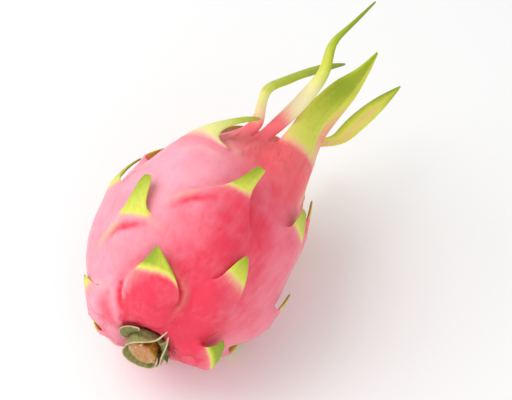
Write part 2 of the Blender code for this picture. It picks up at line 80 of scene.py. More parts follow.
# Where a short blade and a long one are widest, as shares of their length
SHORT_BLADE_START = 0.3
LONG_BLADE_START = 0.12
# A blade is thinner at its edges by this share, and thins the faster near its root the higher the power
EDGE_THINNING = 0.45
THINNING_POWER = 1.6
# Width of a swelling against its scale's root, what it loses towards its end, and how square its crown is
SWELL_WIDTH = 1.18
SWELL_NARROWING = 0.3
SWELL_SQUARENESS = 2.4
# Share of a blade over which it rises clear of the skin, and how much clearer its outer face stays
CLEARING = 0.2
OUTER_CLEARANCE = 1.8
# Shares of a blade's length and width over which its direction is measured, and places kept along a leaf
STEP_OUT = 0.05
STEP_ACROSS = 0.1
LEAF_PLACES = 60
# Share of a blade over which its shade across fades in
SHADE_START = 0.3

# Scales that lie along the skin. The path of a blade is along, sideways and lift over the plain skin.
# Tones say how ripe the blade's colour is along it, from the skin's pink at -1 to the dark tip at 1.
# Shade adds to that across the blade, and cream says where the colour pales.
SKIN_SCALES = {
    "upper left": dict(row=13, first=-10, across=4, swell=0.8, reach=24, widths=(5.8, 5.0, 4.0, 2.4, 0.6),
                       path=((0, 0, 1.6), (7, 1.5, 0.9), (14, 3, 0.2), (20, 4.5, -0.6)),
                       tones=((0, -0.7), (0.2, 0.1), (0.45, 0.4), (1, 0.7))),
    "middle left": dict(row=10, first=-5, across=4, swell=4.2, reach=24, fold=0.35, widths=(4.5, 4.2, 3.4, 3.0, 1.6),
                        path=((0, 1, 3.6), (5.5, 1.4, 3.8), (11, 1.9, 4.0), (16.7, 2.1, 4.2)),
                        tones=((0, -0.4), (0.12, 0.05), (0.5, 0.3), (0.8, 0.42), (1, 0.6)),
                        shade=((-1, 0.12), (0, 0), (1, -0.1))),
    "lower left": dict(row=5, first=-13, across=6, swell=5.5, reach=20, widths=(10.0, 7.2, 4.6, 2.4, 0.5),
                       path=((0, -1, 3.6), (4, -1.5, 3.6), (8, -2, 3.2), (11, -2.5, 2.6)),
                       tones=((0, -1), (0.3, -0.5), (0.55, 0.1), (1, 0.5)),
                       shade=((-1, 0.9), (-0.6, 0.35), (0.1, 0), (1, 0))),
    "front": dict(row=5, first=-3, across=6, swell=4.6, reach=20, ridge=0.12, widths=(12.0, 10.2, 7.0, 3.7, 0.4),
                  path=((0, 1, 4.0), (6, 1.7, 4.6), (12, 1.9, 5.2), (17.8, 0, 5.2)),
                  tones=((0, -1), (0.38, -0.95), (0.48, -0.45), (0.56, 0.3), (1, 0.55)),
                  shade=((-1, 0.45), (-0.4, 0.25), (0.2, -0.1), (0.75, -0.05), (1, 0.3))),
    "lower right": dict(row=4, first=9, across=6, swell=3.4, reach=18, widths=(8.5, 7.0, 5.0, 3.2, 1.2),
                        path=((0, 0, 3.6), (4, -1.2, 3.8), (8, -3, 3.4), (11.5, -5.5, 2.6)),
                        tones=((0, -1), (0.2, -0.8), (0.45, 0.65), (1, 0.95))),
    "centre": dict(row=13, first=0, across=6, swell=4.8, reach=30, widths=(9.2, 6.2, 3.6, 2.5, 1.6),
                   path=((0, 1.5, 4.4), (7.8, 3.0, 4.8), (15.7, 4.0, 5.4), (25.6, 5.0, 6.4)),
                   tones=((0, -1), (0.35, -0.8), (0.5, 0.05), (0.7, 0.32), (1, 0.5)),
                   shade=((-1, 0.25), (0, 0), (1, -0.3))),
    "right": dict(row=8, first=5, across=4, swell=4.2, reach=22, widths=(6.5, 5.6, 4.2, 2.6, 0.6),
                  path=((0, 0, 3.6), (7, -1, 3.6), (13, -2, 3.8), (18, -3, 4.0)),
                  tones=((0, -1), (0.3, -0.6), (0.5, 0.1), (1, 0.6))),
}

# Roots of the scales on the far and lower sides: row, first column, columns across
FAR_SCALES = ((16, 8, 4), (12, 13, 4), (19, 17, 4), (9, 18, 4), (3, -17, 5), (8, -20, 4), (13, -17, 4),
              (18, -13, 4), (20, -21, 4), (14, 20, 4), (23, -10, 4), (20, 12, 4))
FAR_TONES = ((0, -1), (0.25, -0.6), (0.45, 0.1), (0.8, 0.4), (1, 0.6))
FAR_SEED = 7
FAR_LENGTH = (15, 19)
FAR_LEAN = (-3, 3)
FAR_TIP_RISE = (0, 0.8)
FAR_SWELL = 3.6
FAR_REACH = 22
FAR_WIDTHS = (6.0, 4.2, 1.3)

# Free leaves of the crown. The path is side, along and top in the fruit's frame, and starts past the root.
# Hollow bends the sides of a leaf down from its keel.
CROWN_LEAVES = {
    "top": dict(row=19, first=-6, across=7, swell=2.8, reach=26, widths=(13.0, 4.6, 3.0, 2.7, 1.5), hollow=0.25,
                path=((-12.8, 83.5, 36.3), (-9, 88, 37.0), (-5, 93.5, 35.6), (-2.2, 98, 33.2), (0.3, 102, 30.2)),
                tones=((0, -1), (0.08, -0.5), (0.18, 0.0), (0.4, 0.2), (0.8, 0.4), (1, 0.6)),
                cream=((0.1, 0.4), (0.4, 0.3), (0.7, 0))),
    "ribbon": dict(row=23, first=-3, across=3, swell=1.0, reach=12,
                   widths=(1.8, 2.1, 2.6, 2.6, 2.2, 2.2, 2.0, 1.4, 0.5), hollow=0.2, twist=60,
                   path=((-3.0, 105, 21), (-2.8, 109, 28.2), (-2.6, 113, 34.6), (0.4, 125, 30.2), (4.5, 141, 21.8),
                         (7.5, 154, 13.2), (10, 163.5, 6.0)),
                   tones=((0, -1), (0.1, -0.95), (0.16, -0.2), (0.27, 0.1), (0.34, 0.32), (0.5, 0.42), (0.8, 0.5),
                          (1, 0.8)),
                   cream=((0.1, 0), (0.16, 0.75), (0.24, 0.5), (0.34, 0))),
    "tallest": dict(row=24, first=0, across=2, swell=1.0, reach=12,
                    widths=(4.0, 4.0, 3.8, 3.3, 2.6, 2.2, 1.5, 1.1, 0.5), hollow=0.3, twist=-20,
                    path=((6, 113, 21.5), (9.3, 126, 23.5), (12.2, 139, 28.4), (10.2, 149.5, 33.4),
                          (12.8, 164, 33.0), (16.8, 180, 34.0)),
                    tones=((0, -1), (0.12, -0.8), (0.22, -0.2), (0.45, 0.08), (0.55, 0.2), (0.68, 0.4), (0.82, 0.65),
                           (1, 0.9)),
                    shade=((-1, 0.0), (0.2, 0.0), (1, 0.3)), cream=((0.1, 0.1), (0.24, 0.8), (0.36, 0.6), (0.47, 0))),
    # The broad leaf's shade turns its right part yellower and paler, a painted highlight where that part faces the
    # light.
    "broad": dict(row=24, first=3, across=8, swell=5.0, reach=34,
                  widths=(10.8, 9.8, 9.2, 8.2, 7.3, 6.3, 3.8, 2.1, 0.5), hollow=0.22, twist=-18,
                  path=((18, 107, 12.5), (17, 115, 12.0), (16.2, 123.5, 11.8), (17.4, 130.5, 12.6),
                        (19.6, 138, 14.8), (22.4, 144, 18.2), (26.0, 150.5, 23.4), (27.4, 160, 26.0)),
                  tones=((0, -0.85), (0.05, -0.4), (0.1, -0.05), (0.2, 0.0), (0.36, 0.08), (0.52, 0.3), (0.68, 0.62),
                         (0.8, 0.5), (1, 0.45)),
                  shade=((-1, -0.15), (-0.6, 0.1), (0.2, 0.1), (0.45, -0.35), (1, -0.5))),
    "right": dict(row=24, first=13, across=2, swell=1.0, reach=12,
                  widths=(1.6, 1.7, 4.2, 5.0, 4.9, 4.4, 3.5, 2.1, 0.3), hollow=0.3, twist=100,
                  path=((15.2, 119, -1.6), (17.2, 122.9, -1.6), (21, 125, -1.8), (24.4, 128, -1.8), (26.2, 136, -1.6),
                        (28, 144.8, -1.8), (30.8, 157.1, -2.4), (34.2, 169.6, -3)),
                  tones=((0, -0.9), (0.2, -0.7), (0.3, -0.3), (0.4, -0.08), (0.75, -0.06), (1, 0.55)),
                  shade=((-1, 0.1), (-0.7, -0.1), (0.6, -0.1), (0.88, 0.15), (1, 0.5))),
    "lower": dict(row=24, first=20, across=3, swell=1.0, reach=12, widths=(3.8, 3.6, 3.2, 2.4, 0.9), hollow=0.35,
                  path=((6.5, 117, -20.0), (7, 130, -22.0), (9, 142, -27.0)),
                  tones=((0, -0.9), (0.2, -0.4), (0.4, 0.1), (0.6, 0.4), (1, 0.8))),
    "left": dict(row=24, first=-16, across=3, swell=1.0, reach=12, widths=(3.4, 3.4, 3.0, 2.2, 0.9), hollow=0.35,
                 path=((-12.0, 114, -13.0), (-12.0, 124, -14.0), (-14.0, 135, -17.0)),
                 tones=((0, -0.9), (0.2, -0.4), (0.4, 0.1), (0.6, 0.4), (1, 0.8))),
}

# Ridges and creases of the skin, as arc and turn: width, height, then how much paler or deeper they are
# Deeper in a crease is painted shade and paler on a ridge is a painted highlight; the yellow is partly the margins'
# own colour and partly a painted highlight along the ridge.
SKIN_MARKS = {
    "middle left margin": dict(path=((57.2, -29.3), (53.4, -31.2), (51.2, -37.6), (48.4, -46.2), (45.7, -53.5)),
                               width=1.5, height=0.8, yellow=0.7),
    "middle right margin": dict(path=((55.9, -14.8), (55.0, -8.4), (53.2, 0.4)), width=1.2, height=0.6, yellow=0.25),
    "middle left crease": dict(path=((48.0, -42), (50.5, -33), (52.0, -22.0), (53.4, -13)), width=1.4, height=-0.8,
                               deep=0.95),
    "lower left fold": dict(path=((38, -76), (33.9, -67.5), (29.2, -45.9)), width=1.2, height=0.8, yellow=0.2,
                            deep=-0.3),
    "low fold one": dict(path=((33, -64), (27.2, -66.8), (20.9, -69.3)), width=2.0, height=0.7, deep=-0.15),
    "low fold two": dict(path=((32, -44), (27.5, -43.2), (21.3, -45.0), (15, -58)), width=1.6, height=0.8,
                          deep=-0.2),
    "low groove": dict(path=((30, -54), (24, -56), (17, -64)), width=2.2, height=-0.9, deep=0.45),
    "front left margin": dict(path=((38.5, -12), (36.2, -14), (30.7, -24.2), (24.2, -33.4)), width=1.3, height=0.9,
                              yellow=0.15, deep=-0.35),
    "front left crease": dict(path=((31.5, -30), (27.3, -36), (21, -38)), width=1.2, height=-1.0, deep=1.0),
    "front right margin": dict(path=((41.8, 11.8), (39.3, 20.4), (37, 28.1), (32.7, 29.9), (25, 28)), width=1.2,
                               height=0.9, yellow=0.25, deep=-0.3),
    "front right crease": dict(path=((40, 27), (36, 34), (30, 36), (24, 33)), width=1.6, height=-0.8, deep=0.65),
    "front ridge": dict(path=((34, -2.6), (27.4, 0.5), (19.2, 3.9)), width=2.4, height=0.6, deep=-0.25),
    "front groove": dict(path=((33, -10), (26, -12.1), (18.4, -17)), width=1.8, height=-0.5, deep=0.2),
    "lower right crease": dict(path=((18.8, 31.9), (21.6, 34.3), (26.8, 41.1), (30.9, 43.2)), width=1.3, height=-0.9,
                               deep=0.8),
    "centre ridge": dict(path=((66, -4), (68.4, -1.6), (71.6, 5.5), (76.3, 11.8), (84.6, 20.7)), width=1.3, height=0.9,
                         yellow=0.5),
    "centre crease": dict(path=((64.5, 0), (68.5, 6), (73, 15), (79, 26)), width=1.7, height=-0.7, deep=0.6),
    "shoulder line": dict(path=((92, -16.9), (96.6, -7.7), (97.5, 7)), width=1.4, height=0.4, yellow=0.15,
                          deep=-0.2),
    "top right margin": dict(path=((113.1, -6), (110, 2), (105.9, 9.3), (102.7, 15.9)), width=1.3, height=0.6,
                             yellow=0.35),
    "crown ridge": dict(path=((103.4, 10.0), (110.4, 12.6), (120, 13.0), (128, 14)), width=1.6, height=0.9,
                        deep=-0.3),
    "crown fold": dict(path=((129, 46), (120.4, 52), (108, 58)), width=1.8, height=-0.6, deep=0.4),
    "crown second fold": dict(path=((120.2, 20), (116.6, 34.2), (108.9, 45.9)), width=2.2, height=0.5, deep=-0.2),
    "crown right margin": dict(path=((129, 79), (122, 79), (114, 75), (107, 72)), width=1.6, height=0.6, yellow=1.0),
}

# Soft patches of the skin's colour: arc, turn, size, and how much deeper or paler they are. They are partly the skin's
# own uneven tone, such as the crimson near the stem, and partly painted light: the paler patches on the upper left are
# a painted highlight and the deeper ones on the right side are painted shade.
SKIN_TONE_AND_LIGHT_PATCHES = (
    (82, -10, 24, -0.22), (62, -20, 18, -0.05), (26, 2, 14, 0.6), (34, 30, 14, 0.4), (52, 28, 18, 0.4),
    (77, 34, 18, 0.5), (20, 66, 22, 0.5), (27, -66, 16, 0.08), (110, 50, 22, 0.5), (122, 28, 16, 0.35),
    (60, 70, 30, 0.4), (16, -20, 10, 0.4), (29, -58, 12, -0.2), (64, 6, 8, 0.2),
)
BASE_DEPTH = 0.27
# Roughness of the skin: size of its lumps, their height, and how far they mottle the colour
ROUGH_SIZE = 7.0
ROUGH_HEIGHT = 0.12
ROUGH_MOTTLE = 0.1
# Arc where the skin starts to turn coral towards the crown, and the distance over which it does
CORAL_START = 92
CORAL_WIDTH = 26
# Marks end where the blades begin, within this share of a blade's length
MARK_REACH = 0.2
# How long a degree of turn counts along a mark, in millimetres, and how near its ends a mark is cut short
DEGREE_LENGTH = 0.6
MARK_END = 0.04
# Samples of the midline, stride over the outline's samples, and places worked out together
MIDLINE_SAMPLES = 120
OUTLINE_STRIDE = 5
BATCH = 4000

# Dry bracts round the stem. First and across are columns of the ring that they grow from, at its front or behind.
# The rows of a sheet are places to the side, along and upwards from the stem's middle, out to the bract's rim.
STEM_BRACTS = {
    "back": dict(first=-7, across=4, behind=True,
                 sheet=(((-11.0, -0.6, 0.0), (-8.2, -1.0, 6.8), (-2.4, -0.6, 10.0)),
                        ((-12.0, -0.6, 4.0), (-8.0, -1.4, 9.8), (-1.8, -0.8, 12.4)),
                        ((-11.4, -0.7, 8.4), (-6.6, -1.2, 12.2), (-1.3, -0.7, 14.4)))),
    "lip": dict(first=-6, across=9, behind=False,
                sheet=(((-8.6, -2.6, 0.4), (-4.8, -2.6, 6.8), (0.6, -2.6, 8.4), (4.6, -2.4, 9.4), (7.2, -1.9, 11.0)),
                       ((-8.8, -4.8, -0.2), (-3.4, -5.6, 6.2), (3.0, -4.2, 9.2), (7.6, -2.4, 12.4),
                        (11.0, 0.2, 17.0)))),
    "right": dict(first=4, across=9, behind=False,
                  sheet=(((8.6, -0.9, 8.6), (9.0, -1.8, 5.2), (8.6, -2.6, 0.8), (7.4, -2.8, -3.8), (5.2, -2.8, -6.6)),
                         ((11.0, -0.2, 14.2), (9.9, -2.4, 7.6), (8.6, -4.2, 1.8), (7.2, -5.0, -3.4),
                          (5.3, -5.3, -6.6)))),
    "flap": dict(first=9, across=3, behind=True,
                 sheet=(((10.1, -0.9, -0.6), (9.9, -1.1, -3.1), (8.6, -0.9, -5.8)),
                        ((11.0, -2.1, 0.3), (10.5, -2.7, -2.5), (9.0, -2.3, -5.4)))),
    "lower": dict(first=14, across=10, behind=False,
                  sheet=(((4.2, -3.0, -8.0), (0.2, -3.2, -8.8), (-4.8, -3.4, -7.8), (-7.9, -3.2, -4.8),
                          (-8.8, -2.8, -1.6)),
                         ((4.4, -5.3, -7.8), (0.0, -5.3, -10.2), (-5.6, -6.0, -9.0), (-9.4, -6.0, -6.2),
                          (-9.6, -5.2, -2.6)))),
}
BRACT_COLUMNS = 32
BRACT_STEPS = 6
BRACT_RIM = 0.7
BRACT_CLEARANCE = 1.7
BRACT_ROOT = 1.5
BRACT_RIPPLE = 0.3
BRACT_RIPPLES = 5
ROOT_PLACES = 5
# A face of the ring further out than this is its outer side; of the rest, one below this along is its front
RING_SIDE = 8.0
RING_FRONT = 0.1

STEM_HOLLOW = 3.0
CROWN_HOLLOW = 109.0
BRACT_RING = ((5.7, 3.5), (8.6, 1.5), (8.6, -0.6), (5.7, 0.2))
STEM_OUTLINE = ((0, 3.8), (4.4, 3.5), (5.0, 2.4), (5.0, -0.8), (6.3, -2.6), (6.8, -4.2), (5.8, -5.2), (3.0, -5.0),
                (0, -4.4))
SCAR_OUTLINE = ((0, 108.1), (3.4, 109.1), (6.0, 111.2), (5.8, 112.4), (4.0, 112.8), (2.2, 114.0), (1.6, 117.0),
                (0, 117.6))
TURNED_SEGMENTS = 24
MERGE = 0.01
# Arcs between which the underside is searched for its lowest place
UNDERSIDE = np.linspace(20, 100, 161)

# The cut core: size and height of its lumps, and how its face sags towards the lower left
CORE_LUMP = 2.2
CORE_LUMP_HEIGHT = 0.45
CORE_SAG_START = -0.8
CORE_SAG_DEPTH = 2.5
CORE_SAG = (-0.7, 0, -0.7)

# Small touches of colour on the dry pieces, with a painted highlight on the cut core's wet spots
BRACT_SPOT = (0.12, 0.08, 0.04)
CORE_RED = (0.50, 0.08, 0.02)
CORE_GREEN = (0.40, 0.34, 0.07)
CORE_PAINTED_HIGHLIGHT = (0.90, 0.78, 0.55)
SCAR_FIBRE = (0.42, 0.24, 0.10)

# The photograph: its size, where the fruit's middle lies in it, and millimetres a pixel there at 900 mm
PHOTO_WIDTH = 512
PHOTO_HEIGHT = 400
FRUIT_PIXEL = (213.5, 234.5)
PIXEL_SIZE = 0.42
PIXEL_DISTANCE = 0.9
SENSOR = 36
FLOOR_SIZE = 3
# Soft lights: size and place from the fruit, in metres
KEY_SIZE = 0.9
KEY_PLACE = (-0.55, -0.25, 0.75)
FILL_SIZE = 0.6
FILL_PLACE = (0.7, -0.6, 0.4)


class FruitShape(bpy.types.PropertyGroup):
    """Sizes of the body, its skin and its scales"""
    tilt: FloatProperty(name="Tilt", description="How far the crown end lies above the stem end",
                        default=math.radians(5), subtype="ANGLE", unit="ROTATION")
    flat_depth: FloatProperty(name="Flat spot", description="How deep the underside is pressed flat where it rests",
                              default=0.0024, subtype="DISTANCE", unit="LENGTH")
    root_thickness: FloatProperty(name="Root thickness", description="Thickness of a scale where it leaves the skin",
                                  default=0.003, subtype="DISTANCE", unit="LENGTH")
    rim_thickness: FloatProperty(name="Tip thickness", description="Thickness of a scale at its tip", default=0.0009,
                                 subtype="DISTANCE", unit="LENGTH")
    clearance: FloatProperty(name="Clearance", description="Least gap between a scale's blade and the skin below it",
                             default=0.0008, subtype="DISTANCE", unit="LENGTH")
    lump_size: FloatProperty(name="Lump size", description="Distance between the soft lumps of the body",
                             default=0.022, subtype="DISTANCE", unit="LENGTH")
    lump_height: FloatProperty(name="Lump height", description="Height of the soft lumps of the body",
                               default=0.0005, subtype="DISTANCE", unit="LENGTH")
    levels: IntProperty(name="Smoothness", description="Levels of subdivision of the skin", default=2, min=1, max=3)


class FruitColours(bpy.types.PropertyGroup):
    """Colours of the skin and the leaves, from the pink body to the olive tips"""
    # The skin's colour runs from pale pink to crimson; the same mix also carries the painted highlights and painted
    # shade of the skin's patches and marks.
    pale: FloatVectorProperty(name="Pale pink", description="Skin where it is lightest", size=3, subtype="COLOR",
                              default=(0.97, 0.42, 0.52))
    deep: FloatVectorProperty(name="Crimson", description="Skin where it is deepest", size=3, subtype="COLOR",
                              default=(0.86, 0.05, 0.10))
    coral: FloatVectorProperty(name="Coral", description="Skin near the crown", size=3, subtype="COLOR",
                               default=(0.99, 0.16, 0.17))
    peach: FloatVectorProperty(name="Peach", description="Where pink turns to yellow", size=3, subtype="COLOR",
                               default=(0.93, 0.55, 0.30))
    yellow: FloatVectorProperty(name="Yellow green", description="Foot of the scales' green", size=3, subtype="COLOR",
                                default=(0.74, 0.76, 0.10))
    green: FloatVectorProperty(name="Green", description="Middle of the scales' green", size=3, subtype="COLOR",
                               default=(0.36, 0.45, 0.02))
    cream: FloatVectorProperty(name="Cream", description="Pale lower parts of the crown leaves", size=3,
                               subtype="COLOR", default=(0.93, 0.84, 0.58))
    olive: FloatVectorProperty(name="Olive", description="Tips of the scales", size=3, subtype="COLOR",
                               default=(0.22, 0.33, 0.015))


class DryColours(bpy.types.PropertyGroup):
    """Colours of the dry pieces at the two ends"""
    bract: FloatVectorProperty(name="Bract", description="Dry bracts round the stem", size=3, subtype="COLOR",
                               default=(0.25, 0.24, 0.06))
    rim: FloatVectorProperty(name="Bract rim", description="Pale edge of the bracts", size=3, subtype="COLOR",
                             default=(0.76, 0.70, 0.40))
    core: FloatVectorProperty(name="Core", description="Cut middle of the stem", size=3, subtype="COLOR",
                              default=(0.43, 0.15, 0.012))
    core_light: FloatVectorProperty(name="Core fibres", description="Light fibres of the cut", size=3,
                                    subtype="COLOR", default=(0.68, 0.32, 0.035))
    scar: FloatVectorProperty(name="Flower scar", description="Remains of the flower", size=3, subtype="COLOR",
                              default=(0.16, 0.07, 0.03))


class StageSettings(bpy.types.PropertyGroup):
    """Camera, floor and light"""
    azimuth: FloatProperty(name="Azimuth", description="Camera's turn round the fruit", default=math.radians(28),
                           subtype="ANGLE", unit="ROTATION")
    elevation: FloatProperty(name="Elevation", description="Camera's angle above the floor",
                             default=math.radians(48), subtype="ANGLE", unit="ROTATION")
    distance: FloatProperty(name="Distance", description="From the camera to the middle of the fruit", default=0.9,
                            subtype="DISTANCE", unit="LENGTH")
    floor: FloatVectorProperty(name="Floor", description="Colour of the floor", size=3, subtype="COLOR",
                               default=(0.95, 0.95, 0.95))
    key: FloatProperty(name="Key light", description="Power of the large soft light", default=6.0, unit="POWER")
    fill: FloatProperty(name="Fill light", description="Power of the light from the right", default=1.6, unit="POWER")
    sky: FloatProperty(name="Sky", description="Strength of the even light from all round", default=0.66)


def curve_through(places, values, at):
    """Smooth curve through values given at rising places."""
    places = np.asarray(places, float)
    values = np.asarray(values, float)
    slopes = np.gradient(values, places, axis=0)
    i = int(np.clip(np.searchsorted(places, at, side="right") - 1, 0, len(places) - 2))
    step = places[i + 1] - places[i]
    t = min(max((at - places[i]) / step, 0.0), 1.0)
    return ((2 * t**3 - 3 * t**2 + 1) * values[i] + (t**3 - 2 * t**2 + t) * step * slopes[i]
            + (3 * t**2 - 2 * t**3) * values[i + 1] + (t**3 - t**2) * step * slopes[i + 1])


def sample_outline():
    """The body's outline as close samples: arc, along, radius and the outward normal's two parts."""
    points = np.array(OUTLINE, float)
    chord = np.r_[0, np.cumsum(np.hypot(*np.diff(points, axis=0).T))]
    fine = np.array([curve_through(chord, points, at) for at in np.linspace(0, chord[-1], OUTLINE_SAMPLES)])
    fine[:, 1] = np.maximum(fine[:, 1], 0)
    arc = np.r_[0, np.cumsum(np.hypot(*np.diff(fine, axis=0).T))]
    normal = np.stack([-np.gradient(fine[:, 1], arc), np.gradient(fine[:, 0], arc)], 1)
    normal /= np.hypot(*normal.T)[:, None]
    return arc, fine[:, 0], fine[:, 1], normal[:, 0], normal[:, 1]


ARC, ALONG, RADIUS, NORMAL_ALONG, NORMAL_OUT = sample_outline()
ROW_STEP = ARC[-1] / ROWS
COLUMN_STEP = 360 / COLUMNS


def radius_at(arc):
    return float(np.interp(arc, ARC, RADIUS))


def midline(along):
    """Middle of the body at a distance along the axis."""
    stations = np.array(MIDLINE, float)
    offset = curve_through(stations[:, 0], stations[:, 1:], min(max(along, 0), LENGTH))
    return Vector((offset[0], along, offset[1]))


def at_axis(along, radius, turn):
    """Place in the fruit's own frame."""
    angle = math.radians(turn)
    return midline(along) + Vector((radius * math.sin(angle), 0, radius * math.cos(angle)))


def on_skin(arc, turn, lift=0.0):
    """Place at a height over the plain skin."""
    along = np.interp(arc, ARC, ALONG) + lift * np.interp(arc, ARC, NORMAL_ALONG)
    radius = np.interp(arc, ARC, RADIUS) + lift * np.interp(arc, ARC, NORMAL_OUT)
    return at_axis(float(along), float(radius), turn)


def skin_under(place):
    """Arc, turn and height over the plain skin of a place."""
    away = place - midline(place.y)
    radius = math.hypot(away.x, away.z)
    nearest = int(np.argmin((ALONG - place.y) ** 2 + (RADIUS - radius) ** 2))
    height = ((place.y - ALONG[nearest]) * NORMAL_ALONG[nearest]
              + (radius - RADIUS[nearest]) * NORMAL_OUT[nearest])
    return ARC[nearest], math.degrees(math.atan2(away.x, away.z)), height


def turn_between(turn, middle):
    """Signed turn from the middle, the short way round."""
    return (turn - middle + 180) % 360 - 180


class Scale:
    """One scale or leaf: its root on the skin's grid and its blade."""

    def __init__(self, shape, row, first, across, swell, reach, path, widths, tones, shade=((0, 0),),
                 cream=((0, 0),), fold=0.0, ridge=0.0, hollow=0.0, twist=0.0, free=False):
        self.root_thickness = shape.root_thickness / MM
        self.rim_thickness = shape.rim_thickness / MM
        self.clearance = shape.clearance / MM
        self.row = row
        self.first = first
        self.across = across
        self.swell = swell
        self.reach = reach
        self.path = path
        self.tones = np.array(tones, float)
        self.shade = np.array(shade, float)
        self.cream = np.array(cream, float)
        self.fold = fold
        self.ridge = ridge
        self.hollow = hollow
        self.twist = math.radians(twist)
        self.free = free
        self.root_arc = row * ROW_STEP
        self.middle_arc = (row + 0.5) * ROW_STEP
        self.middle_turn = (first + across / 2) * COLUMN_STEP
        self.root_half = math.radians(across * COLUMN_STEP / 2) * radius_at(self.middle_arc)
        self.widths = widths
        if free:
            self.frames = self.sweep_frames()

    def half_width(self, t):
        places = np.linspace(SHORT_BLADE_START if len(self.widths) < 4 else LONG_BLADE_START, 1, len(self.widths))
        if t <= places[0]:
            return self.widths[0]
        return float(curve_through(places, self.widths, t))

    def thickness(self, t):
        return self.rim_thickness + (self.root_thickness - self.rim_thickness) * (1 - t) ** THINNING_POWER

    def lift_here(self, arc, turn):
        """Height of this scale's swelling over the plain skin."""
        behind = self.root_arc - arc
        if behind > self.reach or behind < -ROW_STEP:
            return 0.0
        narrowing = SWELL_WIDTH - SWELL_NARROWING * max(behind, 0) / self.reach
        half = self.root_half * narrowing
        sideways = math.radians(turn_between(turn, self.middle_turn)) * radius_at(arc) / half
        if abs(sideways) >= 1:
            return 0.0
        if behind < 0:
            fade = 1 + behind / ROW_STEP
        else:
            fade = 0.5 + 0.5 * math.cos(math.pi * behind / self.reach)
            fade -= self.fold * max(1 - behind / ROW_STEP, 0)
        return self.swell * fade * (1 - abs(sideways) ** SWELL_SQUARENESS)

    def sweep_frames(self):
        """Places and directions along a free leaf, carried from its root without turning over."""
        points = [on_skin(self.middle_arc, self.middle_turn, 0.5)] + [Vector(p) for p in self.path]
        chord = np.r_[0, np.cumsum([(b - a).length for a, b in zip(points, points[1:])])]
        stations = np.linspace(0, chord[-1], LEAF_PLACES)
        places = [Vector(curve_through(chord, points, at)) for at in stations]
        normal = on_skin(self.middle_arc, self.middle_turn, 1.0) - on_skin(self.middle_arc, self.middle_turn)
        frames = []
        for i, place in enumerate(places):
            ahead = (places[min(i + 1, LEAF_PLACES - 1)] - places[max(i - 1, 0)]).normalized()
            normal = (normal - normal.dot(ahead) * ahead).normalized()
            turned = Matrix.Rotation(self.twist * i / (LEAF_PLACES - 1), 3, ahead) @ normal
            frames.append((place, ahead, turned))
        return frames

    def free_place(self, across, outer, t):
        i = min(int(t * (len(self.frames) - 1)), len(self.frames) - 2)
        part = t * (len(self.frames) - 1) - i
        place = self.frames[i][0].lerp(self.frames[i + 1][0], part)
        ahead = self.frames[i][1].lerp(self.frames[i + 1][1], part).normalized()
        normal = self.frames[i][2].lerp(self.frames[i + 1][2], part).normalized()
        sideways = ahead.cross(normal).normalized()
        half = self.half_width(t)
        depth = self.thickness(t) * (1 - EDGE_THINNING * across * across) / 2
        fold = -self.hollow * half * across * across
        return place + sideways * (across * half) + normal * (fold + (depth if outer else -depth))

    def skin_place(self, across, outer, t, skin_lift):
        legs = np.linspace(0, 1, len(self.path))
        along, sideways, lift = curve_through(legs, self.path, t)
        further = curve_through(legs, self.path, min(t + STEP_OUT, 1))
        ahead = further - curve_through(legs, self.path, max(t - STEP_OUT, 0))
        slope = math.atan2(ahead[2], ahead[0])
        lift += self.ridge * self.half_width(t) * (0.5 - abs(across))
        depth = self.thickness(t) * (1 - EDGE_THINNING * across * across)
        arc = self.middle_arc + along
        turn = self.middle_turn + math.degrees((sideways + across * self.half_width(t)) / radius_at(arc))
        floor = skin_lift(arc, turn) + self.clearance * min(t / CLEARING, 1)
        inner_lift = max(lift - depth, floor)
        if not outer:
            return on_skin(arc, turn, inner_lift)
        return on_skin(arc - math.sin(slope) * depth, turn, inner_lift + depth * math.cos(slope))

    def place(self, across, outer, t, skin_lift):
        """Place of one blade vertex, eased from the root on the skin into the free blade."""
        if self.free:
            blade = self.free_place(across, outer, t)
            start = self.free_place(across, outer, 0)
        else:
            blade = self.skin_place(across, outer, t, skin_lift)
            start = self.skin_place(across, outer, 0, skin_lift)
        column = self.first + (across + 1) / 2 * self.across
        arc = (self.row if outer else self.row + 1) * ROW_STEP
        root = on_skin(arc, column * COLUMN_STEP, skin_lift(arc, column * COLUMN_STEP))
        blade += (root - start) * max(1 - t / BLEND, 0) ** 2
        arc, turn, height = skin_under(blade)
        wanted = self.clearance * min(t / CLEARING, 1) * (OUTER_CLEARANCE if outer else 1)
        short = skin_lift(arc, turn) + wanted - height
        if short > 0 and arc > self.root_arc:
            blade += (on_skin(arc, turn, 1.0) - on_skin(arc, turn)) * short
        return blade

    def ripeness(self, across, t):
        """How far the colour has gone from the skin's pink to the green tip."""
        along = float(np.interp(t, self.tones[:, 0], self.tones[:, 1]))
        return along + float(np.interp(across, self.shade[:, 0], self.shade[:, 1])) * min(t / SHADE_START, 1)

    def paleness(self, t):
        return float(np.interp(t, self.cream[:, 0], self.cream[:, 1]))


def list_scales(shape):
    """Every scale of the fruit; those out of sight follow one plan with small differences."""
    scales = [Scale(shape, **values) for values in SKIN_SCALES.values()]
    chance = random.Random(FAR_SEED)
    for row, first, across in FAR_SCALES:
        length = chance.uniform(*FAR_LENGTH)
        lean = chance.uniform(*FAR_LEAN)
        tip = 3.6 + chance.uniform(*FAR_TIP_RISE)
        path = ((0, 0, 3.2), (length * 0.4, lean * 0.3, 3.4), (length, lean, tip))
        scales.append(Scale(shape, row, first, across, swell=FAR_SWELL, reach=FAR_REACH, path=path,
                            widths=FAR_WIDTHS, tones=FAR_TONES))
    scales += [Scale(shape, **values, free=True) for values in CROWN_LEAVES.values()]
    return scales


